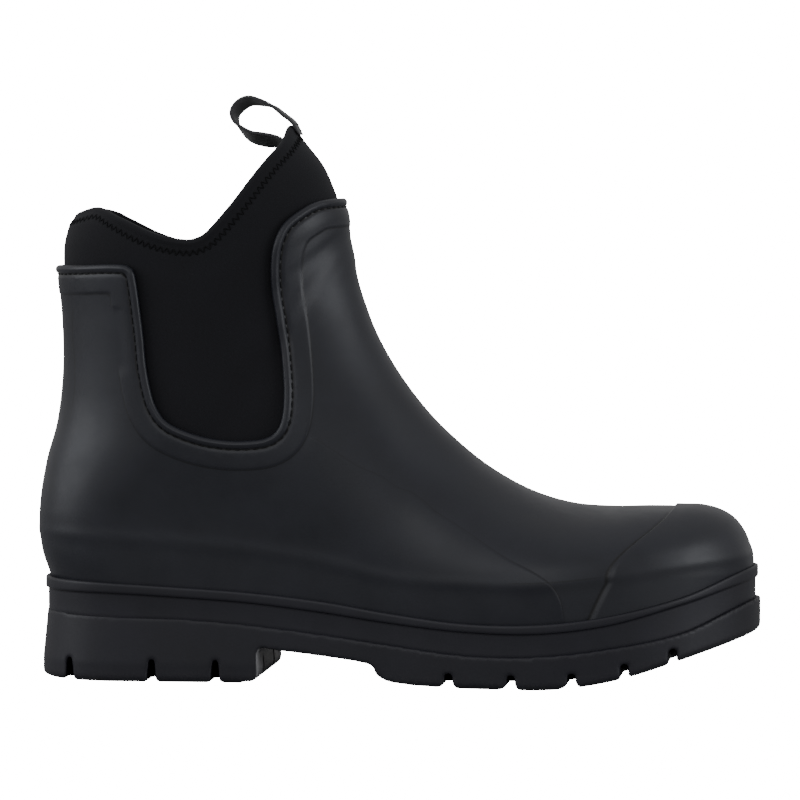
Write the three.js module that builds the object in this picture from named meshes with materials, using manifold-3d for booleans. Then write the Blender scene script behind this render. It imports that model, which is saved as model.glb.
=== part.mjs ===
// Rubber ankle boot for the right foot, with a stretch sleeve inside a moulded shell.
// Millimetres, +Z up, the toe towards +X and the inner side of the foot towards +Y.
import * as THREE from "three";
import { mergeVertices } from "three/addons/utils/BufferGeometryUtils.js";
import Module from "manifold-3d";

const wasm = await Module();
wasm.setup();

// Driving sizes of the last and the sole
const soleLength = 280;
const ballWidth = 98;
const toeHeight = 67;
const shaftHeight = 185;
const randHeight = 39.1;

// Walls, overlays and clearances
const shellWall = 2.2;
const sleeveWall = 3;
const clearance = 0.3;
const toeLedge = 2.4;
const heelLedge = 1.2;
const toeCapRaise = 0.9;
const rimWidth = 3.4;
const rimRaise = 0.8;
const bandWidth = 11;
const bandRaise = 0.4;
const insoleThickness = 4;
const floorThickness = 4.5;
const sleeveLow = 79;

// Sole
const toeSpring = 20;
const heelNotchDepth = 9;
const treadDepth = 5.7;
const grooveWidth = 3;
const heelGrooveWidth = 1.7;
const toeBandInset = 1.9;
const heelBandInset = 0.2;
const toeBeadInset = 0.9;
const heelBeadGrowth = 0.8;
const heelFlare = 1.9;
const edgeRound = 1.6;
const beadLip = 0.8;

// Pull loop
const ribbonWidth = 10;
const ribbonThickness = 1.2;

// Steps of the faceted surfaces
const footSteps = 20;
const shaftSteps = 24;
const sideSteps = 12;
const soleSteps = 34;
const lineSteps = 30;

// A height share is -1 at the ground, 0 at the top of the toe box and 1 at the top of the shaft.
function levelAt(share) {
  if (share < 0) return toeHeight * (1 + share);
  return toeHeight + share * (shaftHeight - toeHeight);
}

// The ladder of sections. Each rung runs from the top or front line of the last to its bottom or
// back line: x as a share of the sole length, z as a height share. "round" is the share of the
// rung over which the section closes towards the top line, "full" the exponent of that curve.
const ladder = [
  { topX: 0.9885, topZ: -0.358, baseX: 0.968, baseZ: -0.94, round: 0.10, full: 2.0 },
  { topX: 0.9855, topZ: -0.261, baseX: 0.962, baseZ: -0.94, round: 0.12, full: 2.0 },
  { topX: 0.9755, topZ: -0.145, baseX: 0.948, baseZ: -0.94, round: 0.21, full: 2.1 },
  { topX: 0.9570, topZ: -0.054, baseX: 0.927, baseZ: -0.94, round: 0.29, full: 2.2 },
  { topX: 0.927, topZ: -0.003, baseX: 0.900, baseZ: -0.94, round: 0.33, full: 2.3 },
  { topX: 0.889, topZ: 0.003, baseX: 0.868, baseZ: -0.94, round: 0.35, full: 2.4 },
  { topX: 0.845, topZ: 0.004, baseX: 0.830, baseZ: -0.94, round: 0.37, full: 2.4 },
  { topX: 0.793, topZ: 0.002, baseX: 0.788, baseZ: -0.94, round: 0.40, full: 2.3 },
  { topX: 0.736, topZ: 0.014, baseX: 0.736, baseZ: -0.94, round: 0.44, full: 2.2 },
  { topX: 0.679, topZ: 0.057, baseX: 0.679, baseZ: -0.94, round: 0.50, full: 2.1 },
  { topX: 0.623, topZ: 0.132, baseX: 0.621, baseZ: -0.94, round: 0.55, full: 2.0 },
  { topX: 0.5745, topZ: 0.225, baseX: 0.564, baseZ: -0.94, round: 0.59, full: 1.9 },
  { topX: 0.5338, topZ: 0.323, baseX: 0.500, baseZ: -0.94, round: 0.60, full: 1.9 },
  { topX: 0.4950, topZ: 0.446, baseX: 0.414, baseZ: -0.94, round: 0.58, full: 1.9 },
  { topX: 0.4658, topZ: 0.568, baseX: 0.293, baseZ: -0.94, round: 0.55, full: 1.9 },
  { topX: 0.4465, topZ: 0.686, baseX: 0.164, baseZ: -0.94, round: 0.52, full: 1.9 },
  { topX: 0.4372, topZ: 0.763, baseX: 0.064, baseZ: -0.94, round: 0.50, full: 1.9 },
  { topX: 0.4340, topZ: 0.818, baseX: 0.009, baseZ: -0.88, round: 0.50, full: 1.9 },
  { topX: 0.4308, topZ: 0.856, baseX: 0.008, baseZ: -0.50, round: 0.50, full: 1.9 },
  { topX: 0.428, topZ: 0.886, baseX: -0.0085, baseZ: -0.26, round: 0.50, full: 1.9 },
  { topX: 0.427, topZ: 0.911, baseX: -0.012, baseZ: -0.030, round: 0.50, full: 1.9 },
  { topX: 0.426, topZ: 0.935, baseX: -0.003, baseZ: 0.136, round: 0.50, full: 1.95 },
  { topX: 0.425, topZ: 0.958, baseX: 0.013, baseZ: 0.280, round: 0.50, full: 1.95 },
  { topX: 0.423, topZ: 0.977, baseX: 0.021, baseZ: 0.449, round: 0.50, full: 2.0 },
  { topX: 0.420, topZ: 1.000, baseX: 0.020, baseZ: 0.619, round: 0.50, full: 2.0 },
  { topX: 0.414, topZ: 1.047, baseX: 0.014, baseZ: 0.792, round: 0.50, full: 2.0 },
  { topX: 0.398, topZ: 1.125, baseX: 0.0175, baseZ: 0.895, round: 0.50, full: 2.0 },
  { topX: 0.3735, topZ: 1.208, baseX: 0.0320, baseZ: 0.968, round: 0.50, full: 2.0 },
  { topX: 0.3415, topZ: 1.300, baseX: 0.0760, baseZ: 1.026, round: 0.50, full: 2.0 },
];
const vampRow = 12;
const heelCornerRow = 17;

// The sole seen from above, at tenths of its length: half width and middle, as shares of the
// ball width, before toe and heel are rounded off. A middle above zero lies to the inner side.
const outlineRows = [
  { half: 0.339, middle: 0.000 },
  { half: 0.339, middle: -0.002 },
  { half: 0.336, middle: -0.007 },
  { half: 0.331, middle: -0.014 },
  { half: 0.335, middle: -0.022 },
  { half: 0.370, middle: -0.022 },
  { half: 0.447, middle: -0.008 },
  { half: 0.497, middle: 0.000 },
  { half: 0.503, middle: 0.010 },
  { half: 0.495, middle: 0.025 },
  { half: 0.480, middle: 0.040 },
];
const toeRoundStart = 0.711;
const toeFullness = 2.15;
const heelRoundEnd = 0.128;
const heelFullness = 2.2;
const shaftHeelRound = 0.204;

// The lines along the sole's side, at tenths of its length, as shares of the rand height: the
// step over the outsole, the bead's lower and upper edge, and the soft shoulder of the shell.
const sideRows = [
  { step: 0.670, beadLow: 0.877, beadTop: 1.000, shoulder: 1.458 },
  { step: 0.645, beadLow: 0.875, beadTop: 0.982, shoulder: 1.432 },
  { step: 0.629, beadLow: 0.841, beadTop: 0.946, shoulder: 1.389 },
  { step: 0.578, beadLow: 0.793, beadTop: 0.900, shoulder: 1.325 },
  { step: 0.496, beadLow: 0.711, beadTop: 0.824, shoulder: 1.223 },
  { step: 0.404, beadLow: 0.616, beadTop: 0.716, shoulder: 1.064 },
  { step: 0.330, beadLow: 0.555, beadTop: 0.642, shoulder: 1.023 },
  { step: 0.332, beadLow: 0.550, beadTop: 0.645, shoulder: 1.023 },
  { step: 0.412, beadLow: 0.637, beadTop: 0.729, shoulder: 1.095 },
  { step: 0.552, beadLow: 0.828, beadTop: 0.901, shoulder: 1.215 },
  { step: 0.832, beadLow: 1.030, beadTop: 1.160, shoulder: 1.279 },
];

// Half width of the shaft, as a share of the ball width, by height share in steps of 0.25.
const shaftRows = [
  { half: 0.350 },
  { half: 0.350 },
  { half: 0.358 },
  { half: 0.368 },
  { half: 0.380 },
  { half: 0.372 },
  { half: 0.340 },
];
const shaftRowStep = 0.25;
const ankleBlend = 0.30;
const tuckShare = 0.13;

// Smooth reading of a table's column at a fractional row
function readRow(table, name, row) {
  const last = table.length - 1;
  const place = Math.min(Math.max(row, 0), last);
  const index = Math.min(Math.floor(place), last - 1);
  const share = place - index;
  const at = (k) => table[Math.min(Math.max(k, 0), last)][name];
  const [before, from, to, after] = [at(index - 1), at(index), at(index + 1), at(index + 2)];
  const slopeFrom = (to - before) / 2;
  const slopeTo = (after - from) / 2;
  const square = share * share;
  const cube = square * share;
  return (
    (2 * cube - 3 * square + 1) * from +
    (cube - 2 * square + share) * slopeFrom +
    (3 * square - 2 * cube) * to +
    (cube - square) * slopeTo
  );
}

const alongSole = (table, name, x) => readRow(table, name, (x / soleLength) * (table.length - 1));
const sideLine = (name, x) => alongSole(sideRows, name, x) * randHeight;
const middleAt = (x) => alongSole(outlineRows, "middle", x) * ballWidth;
const smoothStep = (value) => {
  const share = Math.min(Math.max(value, 0), 1);
  return share * share * (3 - 2 * share);
};

// A quarter of a superellipse: 0 at distance 0, 1 from distance reach on
function roundOff(distance, reach, fullness) {
  const share = Math.min(Math.max(distance / reach, 0), 1);
  return Math.pow(1 - Math.pow(1 - share, fullness), 1 / fullness);
}

function rungEnds(row) {
  const top = new THREE.Vector2(readRow(ladder, "topX", row), readRow(ladder, "topZ", row));
  const base = new THREE.Vector2(readRow(ladder, "baseX", row), readRow(ladder, "baseZ", row));
  return {
    top: new THREE.Vector2(top.x * soleLength, levelAt(top.y)),
    base: new THREE.Vector2(base.x * soleLength, levelAt(base.y)),
  };
}

// The last's back line, read at a height
const backSamples = [];
for (let row = heelCornerRow; row <= ladder.length - 1; row += 0.05) {
  backSamples.push(rungEnds(row).base);
}
function backAt(z) {
  if (z <= backSamples[0].y) return backSamples[0].x;
  for (let k = 1; k < backSamples.length; k += 1) {
    const [low, high] = [backSamples[k - 1], backSamples[k]];
    if (z <= high.y) return low.x + ((high.x - low.x) * (z - low.y)) / (high.y - low.y);
  }
  return backSamples[backSamples.length - 1].x;
}

const tipRung = rungEnds(0);
function tipAt(z) {
  const share = Math.min(Math.max((z - tipRung.base.y) / (tipRung.top.y - tipRung.base.y), 0), 1);
  return tipRung.base.x + (tipRung.top.x - tipRung.base.x) * share;
}

// Half width of the last at a point of its side view
function halfWidthAt(x, z, topDistance, round, full) {
  const toeStart = toeRoundStart * soleLength;
  const along = Math.min(Math.max(x / soleLength, 0), 1);
  const ledge = heelLedge + (toeLedge - heelLedge) * along;
  const foot = alongSole(outlineRows, "half", x) * ballWidth - ledge;
  const share = z < toeHeight ? 0 : (z - toeHeight) / (shaftHeight - toeHeight);
  const shaft = readRow(shaftRows, "half", share / shaftRowStep) * ballWidth;
  const shoulder = sideLine("shoulder", x);
  const rise = smoothStep((z - shoulder) / (ankleBlend * shaftHeight));
  const width = foot + (shaft - foot) * rise;
  const toe = roundOff(tipAt(z) - x, tipAt(z) - toeStart, toeFullness);
  const backReach = (heelRoundEnd + (shaftHeelRound - heelRoundEnd) * rise) * soleLength;
  const back = roundOff(x - backAt(z), backReach, heelFullness + (2 - heelFullness) * rise);
  const below = Math.min(Math.max((shoulder - z) / shoulder, 0), 1);
  const tuck = 1 - tuckShare * (1 - Math.sqrt(1 - below * below));
  return width * tuck * toe * back * roundOff(topDistance, round, full);
}

// One closed section of the last, from the top line down the outer side and up the inner side
function sectionAt(row) {
  const { top, base } = rungEnds(row);
  const length = top.distanceTo(base);
  const round = readRow(ladder, "round", row) * length;
  const full = readRow(ladder, "full", row);
  const outer = [];
  const inner = [];
  for (let k = 0; k <= sideSteps; k += 1) {
    const share = (1 - Math.cos((Math.PI * k) / sideSteps)) / 2;
    const x = top.x + (base.x - top.x) * share;
    const z = top.y + (base.y - top.y) * share;
    const closed = row === 0 || k === 0 || (k === sideSteps && row >= heelCornerRow);
    const half = closed ? 0 : halfWidthAt(x, z, share * length, round, full);
    const middle = middleAt(x) * (1 - smoothStep((z - toeHeight) / (shaftHeight - toeHeight)));
    outer.push(new THREE.Vector3(x, middle - half, z));
    inner.push(new THREE.Vector3(x, middle + half, z));
  }
  return [...outer, ...inner.reverse().slice(0, -1)];
}

// A closed geometry through rings of equal length, with its shared vertices merged
function ringGeometry(rings) {
  const positions = [];
  const indices = [];
  const count = rings[0].length;
  for (const ring of rings) {
    for (const point of ring) positions.push(point.x, point.y, point.z);
  }
  for (let r = 0; r < rings.length - 1; r += 1) {
    for (let k = 0; k < count; k += 1) {
      const a = r * count + k;
      const b = r * count + ((k + 1) % count);
      indices.push(a, a + count, b, b, a + count, b + count);
    }
  }
  for (const [ring, flip] of [[0, true], [rings.length - 1, false]]) {
    const centre = new THREE.Vector3();
    for (const point of rings[ring]) centre.addScaledVector(point, 1 / count);
    const hub = positions.length / 3;
    positions.push(centre.x, centre.y, centre.z);
    for (let k = 0; k < count; k += 1) {
      const a = ring * count + k;
      const b = ring * count + ((k + 1) % count);
      indices.push(hub, flip ? a : b, flip ? b : a);
    }
  }
  const geometry = new THREE.BufferGeometry();
  geometry.setAttribute("position", new THREE.Float32BufferAttribute(positions, 3));
  geometry.setIndex(indices);
  return cleanGeometry(geometry);
}

// Merges vertices and leaves out triangles that have lost a corner, and any unused vertex
function cleanGeometry(source) {
  const bare = source.clone();
  bare.deleteAttribute("normal");
  bare.deleteAttribute("uv");
  const merged = mergeVertices(bare, 1e-3);
  const index = merged.index.array;
  const kept = [];
  const seen = new Map();
  for (let k = 0; k < index.length; k += 3) {
    const [a, b, c] = [index[k], index[k + 1], index[k + 2]];
    if (a === b || b === c || c === a) continue;
    const key = [a, b, c].sort((one, other) => one - other).join();
    if (seen.has(key)) {
      kept[seen.get(key)] = null;
      seen.delete(key);
      continue;
    }
    seen.set(key, kept.length);
    kept.push([a, b, c]);
  }
  merged.setIndex(kept.filter((face) => face !== null).flat());
  return merged;
}

function solidFrom(geometry) {
  const merged = cleanGeometry(geometry);
  const mesh = new wasm.Mesh({
    numProp: 3,
    vertProperties: new Float32Array(merged.attributes.position.array),
    triVerts: new Uint32Array(merged.index.array),
  });
  return new wasm.Manifold(mesh);
}

const ladderRows = [];
for (let k = 0; k < footSteps; k += 1) ladderRows.push((vampRow * k) / footSteps);
for (let k = 0; k <= shaftSteps; k += 1) {
  ladderRows.push(vampRow + ((ladder.length - 1 - vampRow) * k) / shaftSteps);
}
const lastGeometry = ringGeometry(ladderRows.map(sectionAt));
lastGeometry.computeVertexNormals();

// The last grown, or shrunk where the offset is below zero, along its own normals
function lastForm(offset) {
  const grown = lastGeometry.clone();
  const { position, normal } = grown.attributes;
  for (let k = 0; k < position.count; k += 1) {
    const point = new THREE.Vector3().fromBufferAttribute(position, k);
    const push = new THREE.Vector3().fromBufferAttribute(normal, k);
    point.addScaledVector(push, offset);
    position.setXYZ(k, point.x, point.y, point.z);
  }
  return solidFrom(grown);
}

// A side-view region carried right through the boot, and a plan-view region carried upwards
function acrossBoot(points) {
  const shape = new THREE.Shape(points);
  const cut = new THREE.ExtrudeGeometry(shape, { depth: 2 * ballWidth, bevelEnabled: false });
  cut.translate(0, 0, -ballWidth);
  cut.rotateX(Math.PI / 2);
  return solidFrom(cut);
}
function upThroughBoot(points) {
  const shape = new THREE.Shape(points);
  const cut = new THREE.ExtrudeGeometry(shape, { depth: 2 * shaftHeight, bevelEnabled: false });
  return solidFrom(cut);
}

// A block that fills the side view above a line z = height(x)
const beyondHeel = -soleLength / 4;
const beyondToe = soleLength * 1.25;
function aboveLine(height, steps) {
  const points = [];
  const [from, to] = [beyondHeel, beyondToe];
  for (let k = 0; k <= steps; k += 1) {
    const x = from + ((to - from) * k) / steps;
    points.push(new THREE.Vector2(x, height(x)));
  }
  points.push(new THREE.Vector2(to, 2 * shaftHeight), new THREE.Vector2(from, 2 * shaftHeight));
  return acrossBoot(points);
}

// The rim of the shell in side view, from behind the heel over the back tab, round the stretch
// window and up to the front tab: x as a share of the sole length, z as a height share.
const rimRows = [
  { x: 0.000, z: 0.793 },
  { x: 0.055, z: 0.797 },
  { x: 0.108, z: 0.802 },
  { x: 0.134, z: 0.797 },
  { x: 0.141, z: 0.775 },
  { x: 0.146, z: 0.713 },
  { x: 0.150, z: 0.640 },
  { x: 0.154, z: 0.560 },
  { x: 0.157, z: 0.480 },
  { x: 0.163, z: 0.400 },
  { x: 0.172, z: 0.335 },
  { x: 0.190, z: 0.284 },
  { x: 0.225, z: 0.248 },
  { x: 0.262, z: 0.230 },
  { x: 0.300, z: 0.228 },
  { x: 0.330, z: 0.242 },
  { x: 0.345, z: 0.285 },
  { x: 0.349, z: 0.375 },
  { x: 0.345, z: 0.500 },
  { x: 0.338, z: 0.620 },
  { x: 0.332, z: 0.710 },
  { x: 0.331, z: 0.797 },
  { x: 0.335, z: 0.870 },
  { x: 0.346, z: 0.930 },
  { x: 0.364, z: 0.971 },
  { x: 0.388, z: 1.006 },
  { x: 0.415, z: 1.018 },
  { x: 0.450, z: 1.019 },
];

// Everything above the rim line moved down, or inwards from the window, by a width
const beyondShaft = soleLength * 0.7;
const arcSegments = 24;
function aboveRim(grow) {
  const line = rimRows.map((row) => [row.x * soleLength, levelAt(row.z)]);
  const high = 2 * shaftHeight;
  const back = [[beyondHeel, high], [beyondHeel, line[0][1]]];
  const front = [[beyondShaft, line[line.length - 1][1]], [beyondShaft, high]];
  const region = new wasm.CrossSection([[...back, ...line, ...front]]);
  const grown = region.offset(grow, "Round", 2, arcSegments);
  return grown.extrude(2 * ballWidth).translate([0, 0, -ballWidth]).rotate([90, 0, 0]);
}

// The edge of the stretch collar in side view
const collarRows = [
  { x: 0.000, z: 0.988 },
  { x: 0.030, z: 0.995 },
  { x: 0.055, z: 1.000 },
  { x: 0.076, z: 0.998 },
  { x: 0.092, z: 0.989 },
  { x: 0.109, z: 0.968 },
  { x: 0.143, z: 0.927 },
  { x: 0.176, z: 0.893 },
  { x: 0.209, z: 0.879 },
  { x: 0.226, z: 0.884 },
  { x: 0.243, z: 0.908 },
  { x: 0.277, z: 0.998 },
  { x: 0.310, z: 1.101 },
  { x: 0.327, z: 1.153 },
  { x: 0.3445, z: 1.203 },
  { x: 0.3525, z: 1.240 },
  { x: 0.3600, z: 1.305 },
  { x: 0.3800, z: 1.318 },
];
const collarSkew = 4;
const collarTilt = 1.8;

function belowCollar() {
  const line = collarRows.map((row) => new THREE.Vector2(row.x * soleLength, levelAt(row.z)));
  const [low, left, right] = [-shaftHeight, beyondHeel, beyondShaft];
  const first = new THREE.Vector2(left, line[0].y);
  const last = new THREE.Vector2(right, line[line.length - 1].y);
  const corners = [new THREE.Vector2(right, low), new THREE.Vector2(left, low)];
  const region = acrossBoot([first, ...line, last, ...corners].reverse());
  const nearSide = 0.3 * ballWidth;
  const turned = region.translate([0, nearSide, 0]).rotate([-collarTilt, 0, collarSkew]);
  return turned.translate([0, -nearSide, 0]);
}

// The toe cap's edge in plan view: a wide U whose legs run back along both sides
const capFront = 0.882;
const capSweep = 0.107;
const capPower = 3;
const capSteps = 14;
function toeCapRegion() {
  const points = [];
  for (let k = 0; k <= capSteps; k += 1) {
    const side = -1 + (2 * k) / capSteps;
    const sweep = capSweep * Math.pow(Math.abs(side), capPower);
    const y = middleAt(capFront * soleLength) * (1 - Math.abs(side)) + (side * ballWidth) / 2;
    points.push(new THREE.Vector2((capFront - sweep) * soleLength, y));
  }
  const far = 1.2 * soleLength;
  const [first, last] = [points[0], points[points.length - 1]];
  const ends = [new THREE.Vector2(first.x, -ballWidth), new THREE.Vector2(last.x, ballWidth)];
  const corners = [new THREE.Vector2(far, ballWidth), new THREE.Vector2(far, -ballWidth)];
  return upThroughBoot([...corners, ends[0], ...points, ends[1]].reverse());
}

const footBed = (x) => sideLine("step", x) + clearance + floorThickness;

// One point of the sole's outline: station 0 at the heel, 1 at the toe; side -1 outer, 1 inner
function outlinePoint(station, side) {
  const x = soleLength * station;
  const half = alongSole(outlineRows, "half", x) * ballWidth;
  const toeReach = (1 - toeRoundStart) * soleLength;
  const toe = roundOff(soleLength - x, toeReach, toeFullness);
  const heel = roundOff(x, heelRoundEnd * soleLength, heelFullness);
  return new THREE.Vector2(x, middleAt(x) + side * half * toe * heel);
}

// Stations along the sole, close together where heel and toe are round
const stations = [];
for (let k = 0; k <= soleSteps; k += 1) {
  stations.push((1 - Math.cos((Math.PI * k) / soleSteps)) / 2);
}

// The outline of one side, moved outwards by a distance that may change along the sole
function outlineSide(side, grow) {
  const line = stations.map((station) => outlinePoint(station, side));
  return line.map((point, k) => {
    let along = new THREE.Vector2(0, k === 0 ? side : -side);
    if (k > 0 && k < line.length - 1) along = line[k + 1].clone().sub(line[k - 1]).normalize();
    const push = grow(point.x);
    return new THREE.Vector2(point.x - side * along.y * push, point.y + side * along.x * push);
  });
}

// A closed slab between levels; each level has its own growth and height along the sole
function soleSlab(levels) {
  const sides = levels.map(({ grow, height }) => {
    const lift = (point) => new THREE.Vector3(point.x, point.y, height(point.x));
    return [-1, 1].map((side) => outlineSide(side, grow).map(lift));
  });
  const rings = stations.map((station, k) => {
    const outer = sides.map(([line]) => line[k]);
    const inner = sides.map(([, line]) => line[k]).reverse();
    return [...outer, ...inner];
  });
  return solidFrom(ringGeometry(rings.reverse()));
}

// Underside of the sole: flat to the ball of the foot, then rising to the toe
const springStart = 0.686;
const springBend = 0.55;
function groundLine(x) {
  const start = springStart * soleLength;
  const bend = springBend * (soleLength - start);
  const slope = toeSpring / (soleLength - start - bend / 2);
  if (x <= start) return 0;
  if (x < start + bend) return (slope * (x - start) ** 2) / (2 * bend);
  return slope * (x - start - bend / 2);
}

const group = new THREE.Group();
const rubber = new THREE.MeshStandardMaterial({ color: 0x2a2c30, roughness: 0.55, metalness: 0 });
const soleRubber = new THREE.MeshStandardMaterial({ color: 0x26282b, roughness: 0.65, metalness: 0 });
const stretchCloth = new THREE.MeshStandardMaterial({ color: 0x141416, roughness: 0.95, metalness: 0 });
const webbing = new THREE.MeshStandardMaterial({ color: 0x17181a, roughness: 0.8, metalness: 0 });
const foamCloth = new THREE.MeshStandardMaterial({ color: 0x303236, roughness: 0.95, metalness: 0 });

function addPiece(name, solid, pieceMaterial) {
  const { vertProperties, triVerts } = solid.getMesh();
  const geometry = new THREE.BufferGeometry();
  geometry.setAttribute("position", new THREE.Float32BufferAttribute(vertProperties, 3));
  geometry.setIndex(Array.from(triVerts));
  const mesh = new THREE.Mesh(geometry, pieceMaterial);
  mesh.name = name;
  group.add(mesh);
}

// Shell: the raised toe cap, rim and gore band are steps in its wall
function makeShell() {
  const cap = lastForm(toeCapRaise).intersect(toeCapRegion());
  const rim = lastForm(rimRaise).intersect(aboveRim(rimWidth));
  const band = lastForm(bandRaise).intersect(aboveRim(bandWidth));
  const outside = lastForm(0).add(cap).add(band).add(rim);
  const standing = aboveLine((x) => footBed(x) + clearance, lineSteps);
  return outside.subtract(lastForm(-shellWall)).intersect(standing).subtract(aboveRim(0));
}

// Sleeve: a stretch collar that lines the shaft and fills both windows
const sleeveSlope = 0.35;
const sleeveCentre = 0.25;
function makeSleeve() {
  const outside = lastForm(-shellWall - clearance);
  const inside = lastForm(-shellWall - clearance - sleeveWall);
  const bottom = aboveLine((x) => sleeveLow + sleeveSlope * (x - sleeveCentre * soleLength), 1);
  return outside.subtract(inside).intersect(bottom).intersect(belowCollar());
}

// The arch between heel and tread: x as a share of the sole length, z of the rand height
const archRows = [
  { x: 0.287, z: -0.150 },
  { x: 0.290, z: 0.000 },
  { x: 0.304, z: 0.018 },
  { x: 0.312, z: 0.055 },
  { x: 0.3145, z: 0.120 },
  { x: 0.315, z: 0.338 },
  { x: 0.345, z: 0.325 },
  { x: 0.412, z: 0.272 },
  { x: 0.462, z: 0.222 },
  { x: 0.475, z: 0.178 },
  { x: 0.480, z: 0.108 },
  { x: 0.497, z: 0.044 },
  { x: 0.531, z: 0.015 },
  { x: 0.575, z: -0.010 },
  { x: 0.580, z: -0.150 },
];
function archRegion() {
  const points = archRows.map((row) => new THREE.Vector2(row.x * soleLength, row.z * randHeight));
  return acrossBoot(points.reverse());
}

// Tread grooves that run in from both sides to a solid spine, by station, each a little wider
// at the ground
const heelGrooves = [0.047, 0.165, 0.254];
const foreGrooves = [0.581, 0.668, 0.751, 0.822, 0.886];
const grooveTaper = 1.5;
const heelGrooveTaper = 3.1;
const spineHalf = 0.16;
function grooveRegion(station, depth, width, taper) {
  const x = station * soleLength;
  const z = groundLine(x);
  const half = width / 2;
  const across = acrossBoot([
    new THREE.Vector2(x - half * taper, z - depth),
    new THREE.Vector2(x + half * taper, z - depth),
    new THREE.Vector2(x + half, z + depth),
    new THREE.Vector2(x - half, z + depth),
  ]);
  const spine = wasm.Manifold.cube([soleLength, 2 * spineHalf * ballWidth, 4 * depth], true);
  return across.subtract(spine.translate([x, middleAt(x), z]));
}

function makeOutsole() {
  const step = (x) => sideLine("step", x);
  const flare = (x) => heelFlare * Math.max(0, 1 - x / (0.5 * soleLength));
  const low = (x) => groundLine(x) + edgeRound;
  let sole = soleSlab([
    { grow: () => 0, height: step },
    { grow: flare, height: (x) => low(x) + treadDepth },
    { grow: flare, height: low },
    { grow: (x) => flare(x) - edgeRound, height: groundLine },
  ]);
  sole = sole.subtract(archRegion());
  for (const station of heelGrooves) {
    sole = sole.subtract(grooveRegion(station, heelNotchDepth, heelGrooveWidth, heelGrooveTaper));
  }
  for (const station of foreGrooves) {
    sole = sole.subtract(grooveRegion(station, treadDepth, grooveWidth, grooveTaper));
  }
  return sole;
}

function makeMidsole() {
  const along = (x) => x / soleLength;
  const band = (x) => -toeBandInset * along(x) - heelBandInset * (1 - along(x));
  const bead = (x) => -toeBeadInset * along(x) + heelBeadGrowth * (1 - along(x));
  const bottom = (x) => sideLine("step", x) + clearance;
  const low = (x) => sideLine("beadLow", x);
  const top = (x) => sideLine("beadTop", x);
  const slab = soleSlab([
    { grow: (x) => bead(x) - beadLip, height: top },
    { grow: bead, height: (x) => top(x) - beadLip },
    { grow: bead, height: (x) => low(x) + beadLip },
    { grow: band, height: low },
    { grow: band, height: bottom },
  ]);
  const room = lastForm(clearance).add(lastForm(clearance + toeCapRaise).intersect(toeCapRegion()));
  const aboveFloor = aboveLine(footBed, lineSteps);
  return slab.subtract(room.intersect(aboveFloor));
}

function makeInsole() {
  const room = lastForm(-shellWall - 2 * clearance);
  const low = aboveLine((x) => footBed(x) + clearance, lineSteps);
  const high = aboveLine((x) => footBed(x) + clearance + insoleThickness, lineSteps);
  return room.intersect(low).subtract(high);
}

// Pull loop: one end lies on the front of the collar, the ribbon turns back over its peak, and
// the other end goes inside. Turn is how far the ribbon leans from lying across the boot.
const loopRows = [
  { x: 0.3594, z: 1.2290, turn: 0 },
  { x: 0.3536, z: 1.2484, turn: 0 },
  { x: 0.3460, z: 1.2720, turn: 0 },
  { x: 0.3344, z: 1.2930, turn: 0 },
  { x: 0.3203, z: 1.3190, turn: 2 },
  { x: 0.3060, z: 1.3320, turn: 9 },
  { x: 0.2875, z: 1.3400, turn: 18 },
  { x: 0.2757, z: 1.3294, turn: 21 },
  { x: 0.2676, z: 1.3100, turn: 18 },
  { x: 0.2650, z: 1.2909, turn: 10 },
  { x: 0.2676, z: 1.2660, turn: -2 },
  { x: 0.2775, z: 1.2400, turn: -14 },
  { x: 0.2899, z: 1.2200, turn: -24 },
  { x: 0.3075, z: 1.2105, turn: -30 },
  { x: 0.3250, z: 1.2040, turn: -24 },
  { x: 0.3415, z: 1.1880, turn: -12 },
  { x: 0.3525, z: 1.1600, turn: -4 },
  { x: 0.3630, z: 1.1200, turn: 0 },
];
const loopSteps = 35;

function makePullLoop() {
  const points = loopRows.map((row) => new THREE.Vector3(row.x * soleLength, 0, levelAt(row.z)));
  const route = new THREE.CatmullRomCurve3(points, false, "centripetal");
  const rings = [];
  for (let k = 0; k <= loopSteps; k += 1) {
    const share = k / loopSteps;
    const centre = route.getPoint(share);
    const along = route.getTangent(share);
    const lean = THREE.MathUtils.degToRad(readRow(loopRows, "turn", share * (loopRows.length - 1)));
    const across = new THREE.Vector3(0, 1, 0).applyAxisAngle(along, lean);
    const through = new THREE.Vector3().crossVectors(along, across).normalize();
    const corners = [[-1, -1], [1, -1], [1, 1], [-1, 1]];
    rings.push(corners.map(([wide, thick]) => centre.clone()
      .addScaledVector(across, (wide * ribbonWidth) / 2)
      .addScaledVector(through, (thick * ribbonThickness) / 2)));
  }
  return solidFrom(ringGeometry(rings.reverse()));
}

addPiece("outsole", makeOutsole(), soleRubber);
addPiece("midsole", makeMidsole(), soleRubber);
addPiece("shell", makeShell(), rubber);
addPiece("stretch_sleeve", makeSleeve(), stretchCloth);
addPiece("insole", makeInsole(), foamCloth);
addPiece("pull_loop", makePullLoop(), webbing);

// The origin is the middle of the ground under the boot's box
const box = new THREE.Box3().setFromObject(group);
const middle = box.getCenter(new THREE.Vector3());
group.position.set(-middle.x, -middle.y, -box.min.z);

export default group;
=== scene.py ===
import math

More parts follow.
